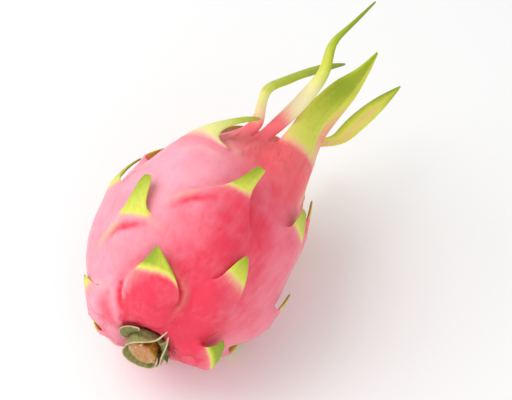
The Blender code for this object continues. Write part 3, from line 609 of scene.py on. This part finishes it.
def skin_height(shape, scales, arc, turn):
    """Height of the swollen skin over the plain body."""
    from_hollow = (min(arc, ARC[-1] - arc) - HOLLOW_ARC) / HOLLOW_ARC
    swelling = max(scale.lift_here(arc, turn) for scale in scales)
    lump = shape.lump_height / MM * noise.noise(on_skin(arc, turn) / (shape.lump_size / MM))
    place = on_skin(arc, turn)
    dent = sum(depth * math.exp(-((place - on_skin(*middle)).length / size) ** 2)
               for *middle, depth, size in DENTS)
    return (swelling + lump - dent) * min(max(from_hollow, 0), 1)


def grid_reader(heights):
    """Function that reads the grid of skin heights between its corners."""
    def read(arc, turn):
        row = min(max(arc / ROW_STEP, 0), ROWS - 1e-6)
        column = (turn / COLUMN_STEP) % COLUMNS
        j, i = int(row), int(column) % COLUMNS
        v, u = row - j, column - int(column)
        k = (i + 1) % COLUMNS
        return (heights[j][i] * (1 - u) * (1 - v) + heights[j][k] * u * (1 - v)
                + heights[j + 1][i] * (1 - u) * v + heights[j + 1][k] * u * v)
    return read


def pull_blade(bm, faces, place, steps, number=0):
    """Pull a strip of faces out into a blade, ring by ring."""
    across = bm.verts.layers.float["across"]
    outer = bm.verts.layers.float["outer"]
    reach = bm.verts.layers.float["reach"]
    leaf = bm.verts.layers.float["leaf"]
    for step in range(1, steps + 1):
        made = bmesh.ops.extrude_face_region(bm, geom=faces)["geom"]
        bmesh.ops.delete(bm, geom=[face for face in faces if face.is_valid], context="FACES_ONLY")
        faces = [item for item in made if isinstance(item, bmesh.types.BMFace)]
        for vert in made:
            if isinstance(vert, bmesh.types.BMVert):
                vert.co = place(vert[across], vert[outer], step / steps)
                vert[reach] = step / steps
                vert[leaf] = number


def make_fruit_cage(shape, scales):
    """The whole fruit in its own frame: a sphere's grid laid on the body, with every blade pulled from it."""
    bm = bmesh.new()
    names = ("across", "outer", "reach", "leaf", "ripe", "cream")
    layers = {name: bm.verts.layers.float.new(name) for name in names}
    bmesh.ops.create_uvsphere(bm, u_segments=COLUMNS, v_segments=ROWS, radius=1)
    heights = [[skin_height(shape, scales, row * ROW_STEP, column * COLUMN_STEP) for column in range(COLUMNS)]
               for row in range(ROWS + 1)]
    for end in (0, ROWS):
        heights[end] = [sum(heights[end]) / COLUMNS] * COLUMNS
    skin_lift = grid_reader(heights)
    grid = {}
    for vert in bm.verts:
        row = round(math.acos(max(min(-vert.co.z, 1), -1)) / math.pi * ROWS)
        turn = math.degrees(math.atan2(vert.co.x, vert.co.y))
        column = 0 if row in (0, ROWS) else round(turn / COLUMN_STEP)
        grid[row, column % COLUMNS] = vert
    for (row, column), vert in grid.items():
        vert.co = on_skin(row * ROW_STEP, column * COLUMN_STEP, heights[row][column])
        vert[layers["ripe"]] = -1
    for number, scale in enumerate(scales, 1):
        columns = range(scale.first, scale.first + scale.across + 1)
        for row in (scale.row, scale.row + 1):
            for column in columns:
                vert = grid[row, column % COLUMNS]
                vert[layers["across"]] = 2 * (column - scale.first) / scale.across - 1
                vert[layers["outer"]] = int(row == scale.row)
        strip = []
        for column in columns[:-1]:
            left, right = column % COLUMNS, (column + 1) % COLUMNS
            corners = [grid[scale.row, left], grid[scale.row, right]]
            corners += [grid[scale.row + 1, right], grid[scale.row + 1, left]]
            strip.append(bm.faces.get(corners))
        before = set(bm.verts)
        pull_blade(bm, strip, lambda u, o, t, scale=scale: scale.place(u, o, t, skin_lift),
                   LEAF_STEPS if scale.free else SCALE_STEPS, number)
        for vert in bm.verts:
            if vert not in before:
                vert[layers["ripe"]] = scale.ripeness(vert[layers["across"]], vert[layers["reach"]])
                vert[layers["cream"]] = scale.paleness(vert[layers["reach"]])
    return bm


def refine(bm, name, levels):
    """Smooth piece made from a cage, with the cage's layers kept as attributes."""
    bmesh.ops.recalc_face_normals(bm, faces=bm.faces)
    if bm.calc_volume(signed=True) < 0:
        bmesh.ops.reverse_faces(bm, faces=bm.faces)
    mesh = bpy.data.meshes.new(name)
    bm.to_mesh(mesh)
    bm.free()
    item = bpy.data.objects.new(name, mesh)
    bpy.context.scene.collection.objects.link(item)
    smooth = item.modifiers.new("smooth", "SUBSURF")
    smooth.levels = smooth.render_levels = levels
    graph = bpy.context.evaluated_depsgraph_get()
    fine = bpy.data.meshes.new_from_object(item.evaluated_get(graph), preserve_all_data_layers=True,
                                           depsgraph=graph)
    item.modifiers.clear()
    item.data = fine
    bpy.data.meshes.remove(mesh)
    fine.name = name
    for face in fine.polygons:
        face.use_smooth = True
    return item


def read_layer(mesh, name):
    values = np.zeros(len(mesh.vertices), np.float32)
    mesh.attributes[name].data.foreach_get("value", values)
    return values


def write_layer(mesh, name, values):
    layer = mesh.attributes.get(name) or mesh.attributes.new(name, "FLOAT", "POINT")
    layer.data.foreach_set("value", np.asarray(values, np.float32))


def vertex_array(mesh, what="co"):
    values = np.zeros(len(mesh.vertices) * 3, np.float32)
    mesh.vertices.foreach_get(what, values)
    return values.reshape(-1, 3).astype(float)


def skin_places(places):
    """Arc and turn of many places, found on the body's outline."""
    along = np.clip(places[:, 1], 0, LENGTH)
    samples = np.linspace(0, LENGTH, MIDLINE_SAMPLES)
    middles = np.array([midline(at)[:] for at in samples])
    away_x = places[:, 0] - np.interp(along, samples, middles[:, 0])
    away_z = places[:, 2] - np.interp(along, samples, middles[:, 2])
    radius = np.hypot(away_x, away_z)
    nearest = np.zeros(len(places), int)
    thin = slice(None, None, OUTLINE_STRIDE)
    for start in range(0, len(places), BATCH):
        part = slice(start, start + BATCH)
        gap = ((ALONG[thin][None, :] - places[part, 1][:, None]) ** 2
               + (RADIUS[thin][None, :] - radius[part][:, None]) ** 2)
        nearest[part] = gap.argmin(1) * OUTLINE_STRIDE
    return ARC[nearest], np.degrees(np.arctan2(away_x, away_z))


def mark_shape(arc, turn, path, width):
    """How close each place is to a line over the skin, from 0 far away to 1 on it, fading at its ends."""
    path = np.array(path, float)
    scale = math.radians(1) * np.interp(arc, ARC, RADIUS)
    best = np.full(len(arc), 1e9)
    where = np.zeros(len(arc))
    legs = np.r_[0, np.cumsum(np.hypot(np.diff(path[:, 0]), np.diff(path[:, 1]) * DEGREE_LENGTH))]
    for i, (a, b) in enumerate(zip(path, path[1:])):
        u0, v0 = arc - a[0], turn_between(turn, a[1]) * scale
        du, dv = b[0] - a[0], turn_between(b[1], a[1]) * scale
        t = np.clip((u0 * du + v0 * dv) / (du * du + dv * dv), 0, 1)
        gap = np.hypot(u0 - t * du, v0 - t * dv)
        closer = gap < best
        best = np.where(closer, gap, best)
        where = np.where(closer, (legs[i] + t * (legs[i + 1] - legs[i])) / legs[-1], where)
    return np.exp(-(best / width) ** 2) * np.sin(np.clip(where, MARK_END, 1 - MARK_END) * math.pi) ** 0.5


def dress_skin(item, shape):
    """Fine ridges and creases of the skin, and the layers that its colours follow."""
    mesh = item.data
    places = vertex_array(mesh)
    normals = vertex_array(mesh, "normal")
    arc, turn = skin_places(places)
    reach = read_layer(mesh, "reach")
    body = np.clip(1 - reach / MARK_REACH, 0, 1)
    lift = np.zeros(len(arc))
    yellow = np.zeros(len(arc))
    deep = np.full(len(arc), BASE_DEPTH)
    # A mark's positive deep darkens its crease as painted shade, and a negative deep pales its ridge as a painted
    # highlight; its yellow is partly a painted highlight too.
    for mark in SKIN_MARKS.values():
        near = mark_shape(arc, turn, mark["path"], mark["width"]) * body
        lift += mark["height"] * near
        yellow += mark.get("yellow", 0) * near
        deep += mark.get("deep", 0) * near
    scale = math.radians(1) * np.interp(arc, ARC, RADIUS)
    # Patches add the skin's own uneven tone, a painted highlight on the upper left and painted shade on the right.
    for middle_arc, middle_turn, size, amount in SKIN_TONE_AND_LIGHT_PATCHES:
        gap = np.hypot(arc - middle_arc, turn_between(turn, middle_turn) * scale)
        deep += amount * np.exp(-(gap / size) ** 2)
    rough = np.array([noise.fractal(Vector(p) / ROUGH_SIZE, 0.8, 2.0, 3) for p in places])
    lift += ROUGH_HEIGHT * rough * body
    mesh.vertices.foreach_set("co", (places + normals * lift[:, None]).astype(np.float32).ravel())
    write_layer(mesh, "deep", np.clip(deep + ROUGH_MOTTLE * rough, 0, 1))
    write_layer(mesh, "warm", np.clip((arc - CORAL_START) / CORAL_WIDTH, 0, 1))
    ends = np.clip(1.3 - arc / 34, 0, 1) + 0.8 * np.clip((arc - 100) / 16, 0, 1)
    write_layer(mesh, "folds", np.clip(0.15 + ends, 0, 1) * body)
    write_layer(mesh, "yellow", np.clip(yellow, 0, 1))


def turned_piece(outline, hollow):
    """A solid of revolution in the middle of one of the fruit's hollows."""
    bm = bmesh.new()
    verts = [bm.verts.new((radius, along, 0)) for radius, along in outline]
    edges = [bm.edges.new(pair) for pair in zip(verts, verts[1:])]
    bmesh.ops.spin(bm, geom=verts + edges, cent=(0, 0, 0), axis=(0, 1, 0), angle=math.tau,
                   steps=TURNED_SEGMENTS, use_merge=True)
    bmesh.ops.remove_doubles(bm, verts=bm.verts, dist=MERGE)
    shift = midline(hollow)
    bmesh.ops.translate(bm, verts=bm.verts, vec=(shift.x, 0, shift.z))
    return bm


def sheet_place(sheet, across, t):
    """Place on a bract's sheet, across from -1 to 1 and out from the ring to the rim."""
    rows = [curve_through(np.linspace(-1, 1, len(row)), row, across) for row in sheet]
    return Vector(curve_through(np.linspace(0, 1, len(rows)), rows, t))


def bract_place(sheet, across, outer, t, skin_under_bract):
    """Place of one bract vertex, on one of the two faces of its sheet and clear of the skin."""
    place = sheet_place(sheet, across, t)
    ahead = sheet_place(sheet, across, min(t + STEP_OUT, 1)) - sheet_place(sheet, across, t - STEP_OUT)
    right = sheet_place(sheet, min(across + STEP_ACROSS, 1), t)
    beside = right - sheet_place(sheet, max(across - STEP_ACROSS, -1), t)
    normal = ahead.cross(beside).normalized()
    thickness = BRACT_RIM + (BRACT_ROOT - BRACT_RIM) * (1 - t) ** 3
    ripple = BRACT_RIPPLE * math.sin(BRACT_RIPPLES * across + sheet[-1][0][0]) * t
    place += normal * ripple
    half = thickness / 2 if outer else -thickness / 2
    return place + skin_under_bract(place) + normal * half


def make_stem_sepals(shape, scales):
    """A ring round the stem with its dry bracts pulled from it."""
    bm = bmesh.new()
    for name in ("across", "outer", "reach", "leaf"):
        bm.verts.layers.float.new(name)
    across = bm.verts.layers.float["across"]
    outer = bm.verts.layers.float["outer"]
    verts = [bm.verts.new((0, along, radius)) for radius, along in BRACT_RING]
    edges = [bm.edges.new(pair) for pair in zip(verts, verts[1:] + verts[:1])]
    bmesh.ops.spin(bm, geom=verts + edges, cent=(0, 0, 0), axis=(0, 1, 0), angle=math.tau,
                   steps=BRACT_COLUMNS, use_merge=True)
    column_step = 360 / BRACT_COLUMNS
    ring = {}
    for face in bm.faces:
        middle = face.calc_center_median()
        radius = math.hypot(middle.x, middle.z)
        column = int(math.degrees(math.atan2(middle.x, middle.z)) // column_step) % BRACT_COLUMNS
        if radius > RING_SIDE:
            ring[True, column] = face
        elif middle.y < RING_FRONT:
            ring[False, column] = face
    stem_middle = midline(STEM_HOLLOW)
    shift = Vector((stem_middle.x, 0, stem_middle.z))

    def clear(place):
        """Move that lifts a place in front of the skin."""
        arc, turn, height = skin_under(place + shift)
        short = skin_height(shape, scales, arc, turn) + BRACT_CLEARANCE - height
        return (on_skin(arc, turn, 1.0) - on_skin(arc, turn)) * max(short, 0)

    for number, values in enumerate(STEM_BRACTS.values(), 1):
        first, count, behind = values["first"], values["across"], values["behind"]
        strip = [ring[behind, column % BRACT_COLUMNS] for column in range(first, first + count)]
        middle_turn = (first + count / 2) * column_step
        corners = {vert for face in strip for vert in face.verts}
        radius = sum(math.hypot(vert.co.x, vert.co.z) for vert in corners) / len(corners)
        along = sum(vert.co.y for vert in corners) / len(corners)
        half_turn = count * column_step / 2
        for vert in corners:
            turn = math.degrees(math.atan2(vert.co.x, vert.co.z))
            vert[across] = turn_between(turn, middle_turn) / half_turn
            vert[outer] = int(vert.co.y > along if behind else math.hypot(vert.co.x, vert.co.z) > radius)
        turns = [math.radians(middle_turn + u * half_turn) for u in np.linspace(-1, 1, ROOT_PLACES)]
        root = tuple((radius * math.sin(turn), along, radius * math.cos(turn)) for turn in turns)
        sheet = (root,) + values["sheet"]
        pull_blade(bm, strip, lambda u, o, t, sheet=sheet: bract_place(sheet, u, o, t, clear),
                   BRACT_STEPS, number)
    bmesh.ops.translate(bm, verts=bm.verts, vec=shift)
    return bm


def find_stand(shape):
    """Matrix from the fruit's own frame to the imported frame, found from the stem's place there."""
    tilt = Matrix.Rotation(shape.tilt, 4, "X")
    lowest = min((tilt @ on_skin(arc, 180)).z for arc in UNDERSIDE)
    stand = Matrix.Translation((0, 0, -lowest - shape.flat_depth / MM)) @ tilt
    turns = np.linspace(0, math.tau, TURNED_SEGMENTS, endpoint=False)
    shift = midline(STEM_HOLLOW)
    rim = [stand @ Vector((shift.x + r * math.sin(a), along, shift.z + r * math.cos(a)))
           for r, along in STEM_OUTLINE for a in turns]
    low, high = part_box("cut_stem")
    middle = (low + high) / 2 / MM
    here = [(min(p[i] for p in rim) + max(p[i] for p in rim)) / 2 for i in (0, 1)]
    return Matrix.Scale(MM, 4) @ Matrix.Translation((middle.x - here[0], middle.y - here[1], 0)) @ stand


def stand_piece(item, shape):
    """Put a piece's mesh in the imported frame, pressed flat where it rests on the floor."""
    item.data.transform(find_stand(shape))
    places = vertex_array(item.data)
    places[:, 2] = np.maximum(places[:, 2], 0)
    item.data.vertices.foreach_set("co", places.astype(np.float32).ravel())
    item.data.update()


class Wiring:
    """A material and short ways to add nodes to it."""

    def __init__(self, name):
        self.material = bpy.data.materials.new(name)
        self.material.use_nodes = True
        self.nodes = self.material.node_tree.nodes
        self.links = self.material.node_tree.links
        self.shader = self.nodes["Principled BSDF"]

    def put(self, socket, value):
        if isinstance(value, bpy.types.NodeSocket):
            self.links.new(value, socket)
        elif hasattr(socket.default_value, "__len__") and len(socket.default_value) == 4:
            socket.default_value = (*value[:3], 1)
        else:
            socket.default_value = value

    def set(self, name, value):
        self.put(self.shader.inputs[name], value)

    def attribute(self, name):
        node = self.nodes.new("ShaderNodeAttribute")
        node.attribute_name = name
        return node.outputs["Fac"]

    def place(self, stretch=(1, 1, 1)):
        """Object coordinates, stretched."""
        coordinates = self.nodes.new("ShaderNodeTexCoord")
        mapping = self.nodes.new("ShaderNodeMapping")
        mapping.inputs["Scale"].default_value = stretch
        self.links.new(coordinates.outputs["Object"], mapping.inputs["Vector"])
        return mapping.outputs["Vector"]

    def vector(self, x, y, z):
        node = self.nodes.new("ShaderNodeCombineXYZ")
        for socket, value in zip(node.inputs, (x, y, z)):
            self.put(socket, value)
        return node.outputs[0]

    def noise(self, vector, scale, detail=2.0, roughness=0.5):
        node = self.nodes.new("ShaderNodeTexNoise")
        self.put(node.inputs["Vector"], vector)
        node.inputs["Scale"].default_value = scale
        node.inputs["Detail"].default_value = detail
        node.inputs["Roughness"].default_value = roughness
        return node.outputs["Fac"]

    def math(self, operation, a, b=0.0, clamp=False):
        node = self.nodes.new("ShaderNodeMath")
        node.operation = operation
        node.use_clamp = clamp
        for socket, value in zip(node.inputs, (a, b)):
            self.put(socket, value)
        return node.outputs[0]

    def span(self, value, low, high, to_low=0.0, to_high=1.0, smooth=False):
        node = self.nodes.new("ShaderNodeMapRange")
        if smooth:
            node.interpolation_type = "SMOOTHSTEP"
        for socket, given in zip(node.inputs, (value, low, high, to_low, to_high)):
            self.put(socket, given)
        return node.outputs[0]

    def mix(self, amount, a, b):
        node = self.nodes.new("ShaderNodeMix")
        node.data_type = "RGBA"
        self.put(node.inputs[0], amount)
        self.put(node.inputs[6], a)
        self.put(node.inputs[7], b)
        return node.outputs[2]

    def ramp(self, value, stops):
        node = self.nodes.new("ShaderNodeValToRGB")
        elements = node.color_ramp.elements
        while len(elements) < len(stops):
            elements.new(0.5)
        for element, (at, colour) in zip(elements, stops):
            element.position = at
            element.color = (*colour[:3], 1)
        self.put(node.inputs["Fac"], value)
        return node.outputs["Color"]

    def bump(self, height, distance, strength=1.0):
        node = self.nodes.new("ShaderNodeBump")
        node.inputs["Strength"].default_value = strength
        node.inputs["Distance"].default_value = distance
        self.put(node.inputs["Height"], height)
        self.links.new(node.outputs["Normal"], self.shader.inputs["Normal"])


def skin_material(colours):
    """Waxy skin: pink on the body, then peach, yellow green and olive out along the scales."""
    w = Wiring("dragon_fruit_skin")
    ripe = w.attribute("ripe")
    across = w.attribute("across")
    reach = w.attribute("reach")
    leaf = w.attribute("leaf")
    mottle = w.noise(w.place(), 70, 3, 0.55)
    fine = w.noise(w.place(), 420, 3, 0.6)
    fibres = w.noise(w.vector(w.math("MULTIPLY", across, 5), w.math("MULTIPLY", reach, 1.6), leaf), 1.6, 3, 0.6)
    body_fibres = w.noise(w.place((1, 0.14, 1)), 520, 2, 0.5)
    # The deep layer holds the skin's own tone together with the painted shade and painted highlights of its marks and
    # patches.
    deep = w.math("ADD", w.attribute("deep"), w.span(mottle, 0.25, 0.75, -0.14, 0.14))
    deep = w.math("ADD", deep, w.span(body_fibres, 0.2, 0.8, -0.05, 0.05), clamp=True)
    folds = w.math("ABSOLUTE", w.span(w.noise(w.place((1, 0.2, 1)), 95, 3, 0.5), 0, 1, -1, 1))
    folds = w.math("MULTIPLY", w.span(folds, 0.16, 0, smooth=True), w.attribute("folds"))
    # The fine folds darken the colour in their creases as painted shade, besides their bump.
    deep = w.math("ADD", deep, w.math("MULTIPLY", folds, 0.3), clamp=True)
    pink = w.mix(deep, colours.pale, colours.deep)
    pink = w.mix(w.math("MULTIPLY", w.attribute("warm"), 0.75), pink, colours.coral)
    # Yellow on the margins is partly their own colour and partly a painted highlight along the ridges.
    pink = w.mix(w.math("MULTIPLY", w.attribute("yellow"), 0.9, clamp=True), pink, colours.peach)
    ragged = w.math("ADD", ripe, w.span(fibres, 0.25, 0.75, -0.09, 0.09))
    ragged = w.math("ADD", ragged, w.span(fine, 0.3, 0.7, -0.05, 0.05))
    scaled = w.span(ragged, -1, 1)
    leaf_colour = w.ramp(scaled, ((0.0, colours.coral), (0.36, colours.peach), (0.52, colours.yellow),
                                  (0.78, colours.green), (1.0, colours.olive)))
    leaf_colour = w.mix(w.attribute("cream"), leaf_colour, colours.cream)
    colour = w.mix(w.span(ragged, -0.85, -0.05, smooth=True), pink, leaf_colour)
    w.set("Base Color", colour)
    w.set("Roughness", w.span(fine, 0.3, 0.7, 0.36, 0.46))
    w.set("Specular IOR Level", 0.24)
    w.set("Subsurface Weight", 0.12)
    w.set("Subsurface Radius", (0.004, 0.0016, 0.001))
    height = w.math("ADD", w.math("MULTIPLY", fine, 0.5), w.math("MULTIPLY", fibres, 0.6))
    height = w.math("ADD", height, w.math("MULTIPLY", body_fibres, 0.4))
    height = w.math("SUBTRACT", height, w.math("MULTIPLY", folds, 1.6))
    w.bump(height, 0.0005, 0.6)
    return w.material


def bract_material(colours):
    """Dry olive bracts with veins and pale rims."""
    w = Wiring("dry_bract")
    across = w.attribute("across")
    reach = w.attribute("reach")
    fan = w.vector(w.math("MULTIPLY", across, 7), w.math("MULTIPLY", reach, 1.2), w.attribute("leaf"))
    veins = w.noise(fan, 2, 3)
    grain = w.noise(w.place(), 600, 4, 0.6)
    rim = w.math("MAXIMUM", w.span(w.math("ABSOLUTE", across), 0.84, 0.98, smooth=True),
                 w.span(reach, 0.88, 0.98, smooth=True))
    colour = w.mix(w.span(veins, 0.42, 0.75, 0, 0.6), colours.bract, colours.rim)
    colour = w.mix(w.math("MULTIPLY", rim, 0.75), w.mix(0.6, colour, colours.bract), colours.rim)
    colour = w.mix(w.span(grain, 0.45, 0.8, 0, 0.6), colour, BRACT_SPOT)
    w.set("Base Color", colour)
    w.set("Roughness", w.span(grain, 0.3, 0.7, 0.6, 0.85))
    w.bump(w.math("ADD", veins, w.math("MULTIPLY", grain, 0.6)), 0.0006, 0.7)
    return w.material


def core_material(colours):
    """Cut stem: moist orange-brown fibres, with redder and greener patches, and glossy wet spots carrying a painted
    highlight of pale cream.
    """
    w = Wiring("cut_core")
    fibres = w.noise(w.place((1, 0.3, 1)), 700, 4, 0.65)
    patches = w.noise(w.place(), 170, 3, 0.5)
    spots = w.noise(w.place(), 330, 2, 0.5)
    colour = w.mix(w.span(fibres, 0.35, 0.7), colours.core, colours.core_light)
    colour = w.mix(w.span(patches, 0.52, 0.66, 0, 0.75), colour, CORE_RED)
    colour = w.mix(w.span(patches, 0.46, 0.34, 0, 0.8), colour, CORE_GREEN)
    # Painted highlight: the wet spots are paled towards cream as well as made glossy.
    colour = w.mix(w.span(spots, 0.66, 0.72, 0, 0.6), colour, CORE_PAINTED_HIGHLIGHT)
    w.set("Base Color", colour)
    w.set("Roughness", w.span(spots, 0.4, 0.65, 0.45, 0.12))
    w.set("Coat Weight", 0.5)
    w.set("Coat Roughness", 0.15)
    w.bump(w.math("ADD", fibres, w.math("MULTIPLY", spots, 0.8)), 0.0009, 0.6)
    return w.material


def scar_material(colours):
    """Dry dark remains of the flower."""
    w = Wiring("flower_scar")
    fibres = w.noise(w.place((1, 0.25, 1)), 800, 4, 0.65)
    w.set("Base Color", w.mix(w.span(fibres, 0.35, 0.7), colours.scar, SCAR_FIBRE))
    w.set("Roughness", w.span(fibres, 0.3, 0.7, 0.7, 0.95))
    w.bump(fibres, 0.0008, 0.8)
    return w.material


def keep_piece(item, material, node):
    """Dress a finished piece and tie it to the frame."""
    item.data.materials.clear()
    item.data.materials.append(material)
    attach(item, "root")
    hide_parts(node)


class DRAGONFRUIT_OT_fruit(bpy.types.Operator):
    """Make the body with its scales and crown leaves"""
    bl_idname = "dragonfruit.fruit"
    bl_label = "Fruit"

    def execute(self, context):
        shape = context.scene.dragonfruit_shape
        scales = list_scales(shape)
        item = refine(make_fruit_cage(shape, scales), "fruit_skin", shape.levels)
        dress_skin(item, shape)
        stand_piece(item, shape)
        keep_piece(item, skin_material(context.scene.dragonfruit_colours), "fruit")
        return {"FINISHED"}


class DRAGONFRUIT_OT_bracts(bpy.types.Operator):
    """Make the dry bracts round the stem"""
    bl_idname = "dragonfruit.bracts"
    bl_label = "Stem bracts"

    def execute(self, context):
        shape = context.scene.dragonfruit_shape
        item = refine(make_stem_sepals(shape, list_scales(shape)), "stem_bracts", 2)
        stand_piece(item, shape)
        keep_piece(item, bract_material(context.scene.dragonfruit_dry), "stem_sepals")
        return {"FINISHED"}


class DRAGONFRUIT_OT_core(bpy.types.Operator):
    """Make the cut core of the stem"""
    bl_idname = "dragonfruit.core"
    bl_label = "Stem core"

    def execute(self, context):
        shape = context.scene.dragonfruit_shape
        item = refine(turned_piece(STEM_OUTLINE, STEM_HOLLOW), "stem_core", 2)
        places = vertex_array(item.data)
        rough = np.array([[noise.noise(Vector(p) / CORE_LUMP + Vector((k, 0, 0))) for k in (0, 9, 18)]
                          for p in places])
        sag = np.clip((CORE_SAG_START - places[:, 1:2]) / CORE_SAG_DEPTH, 0, 1) * np.array(CORE_SAG)
        places += CORE_LUMP_HEIGHT * rough + sag
        item.data.vertices.foreach_set("co", places.astype(np.float32).ravel())
        stand_piece(item, shape)
        keep_piece(item, core_material(context.scene.dragonfruit_dry), "cut_stem")
        return {"FINISHED"}


class DRAGONFRUIT_OT_scar(bpy.types.Operator):
    """Make the dry remains of the flower in the crown"""
    bl_idname = "dragonfruit.scar"
    bl_label = "Flower scar"

    def execute(self, context):
        shape = context.scene.dragonfruit_shape
        item = refine(turned_piece(SCAR_OUTLINE, CROWN_HOLLOW), "flower_remains", 2)
        stand_piece(item, shape)
        keep_piece(item, scar_material(context.scene.dragonfruit_dry), "flower_scar")
        return {"FINISHED"}


def add_area(name, power, size, place, target):
    """A square soft light that faces the target."""
    light = bpy.data.lights.new(name, "AREA")
    light.energy = power
    light.size = size
    item = bpy.data.objects.new(name, light)
    item.location = place
    item.rotation_mode = "QUATERNION"
    item.rotation_quaternion = (Vector(target) - Vector(place)).to_track_quat("-Z", "Y")
    bpy.context.scene.collection.objects.link(item)


class DRAGONFRUIT_OT_stage(bpy.types.Operator):
    """Set up the camera, the floor and the light"""
    bl_idname = "dragonfruit.stage"
    bl_label = "Stage"

    def execute(self, context):
        scene = context.scene
        stage = scene.dragonfruit_stage
        target = find_stand(scene.dragonfruit_shape) @ Vector((0, LENGTH / 2, 0))
        a, e = stage.azimuth, stage.elevation
        back = Vector((math.sin(a) * math.cos(e), -math.cos(a) * math.cos(e), math.sin(e)))
        right = Vector((math.cos(a), math.sin(a), 0))
        up = back.cross(right)
        pixel = PIXEL_SIZE * MM * stage.distance / PIXEL_DISTANCE
        across = PHOTO_WIDTH / 2 - FRUIT_PIXEL[0]
        down = FRUIT_PIXEL[1] - PHOTO_HEIGHT / 2
        offset = right * across * pixel + up * down * pixel
        data = bpy.data.cameras.new("camera")
        data.sensor_width = SENSOR
        data.lens = SENSOR * stage.distance / (PHOTO_WIDTH * pixel)
        camera = bpy.data.objects.new("camera", data)
        rotation = Matrix((right, up, back)).transposed().to_4x4()
        camera.matrix_world = Matrix.Translation(target + back * stage.distance + offset) @ rotation
        scene.collection.objects.link(camera)
        scene.camera = camera

        bm = bmesh.new()
        bmesh.ops.create_grid(bm, x_segments=2, y_segments=2, size=FLOOR_SIZE)
        mesh = bpy.data.meshes.new("floor")
        bm.to_mesh(mesh)
        bm.free()
        floor = bpy.data.objects.new("floor", mesh)
        scene.collection.objects.link(floor)
        w = Wiring("floor")
        w.set("Base Color", stage.floor)
        w.set("Roughness", 0.7)
        mesh.materials.append(w.material)

        world = bpy.data.worlds.new("sky")
        world.use_nodes = True
        background = world.node_tree.nodes["Background"]
        background.inputs["Color"].default_value = (1, 1, 1, 1)
        background.inputs["Strength"].default_value = stage.sky
        scene.world = world
        add_area("key", stage.key, KEY_SIZE, target + Vector(KEY_PLACE), target)
        add_area("fill", stage.fill, FILL_SIZE, target + Vector(FILL_PLACE), target)
        scene.view_settings.view_transform = "Standard"
        scene.view_settings.look = "None"
        return {"FINISHED"}


class DRAGONFRUIT_PT_panel(bpy.types.Panel):
    """Settings and makers of the dragon fruit"""
    bl_idname = "DRAGONFRUIT_PT_panel"
    bl_label = "Dragon fruit"
    bl_space_type = "VIEW_3D"
    bl_region_type = "UI"
    bl_category = "Dragon fruit"

    def draw(self, context):
        for group in GROUPS:
            settings = getattr(context.scene, group)
            box = self.layout.box()
            for key in settings.bl_rna.properties.keys():
                if key not in ("rna_type", "name"):
                    box.prop(settings, key)
        for maker in MAKERS:
            self.layout.operator(maker.bl_idname)


GROUPS = {"dragonfruit_shape": FruitShape, "dragonfruit_colours": FruitColours, "dragonfruit_dry": DryColours,
          "dragonfruit_stage": StageSettings}
MAKERS = (DRAGONFRUIT_OT_fruit, DRAGONFRUIT_OT_bracts, DRAGONFRUIT_OT_core, DRAGONFRUIT_OT_scar,
          DRAGONFRUIT_OT_stage)


def register():
    for group in GROUPS.values():
        bpy.utils.register_class(group)
    for maker in MAKERS:
        bpy.utils.register_class(maker)
    bpy.utils.register_class(DRAGONFRUIT_PT_panel)
    for name, group in GROUPS.items():
        setattr(bpy.types.Scene, name, PointerProperty(type=group))


def unregister():
    for name in GROUPS:
        delattr(bpy.types.Scene, name)
    bpy.utils.unregister_class(DRAGONFRUIT_PT_panel)
    for maker in reversed(MAKERS):
        bpy.utils.unregister_class(maker)
    for group in reversed(list(GROUPS.values())):
        bpy.utils.unregister_class(group)


def main():
    register()
    bpy.ops.dragonfruit.fruit()
    bpy.ops.dragonfruit.bracts()
    bpy.ops.dragonfruit.core()
    bpy.ops.dragonfruit.scar()
    bpy.ops.dragonfruit.stage()
    bpy.context.view_layer.update()


if __name__ == "__main__":
    main()
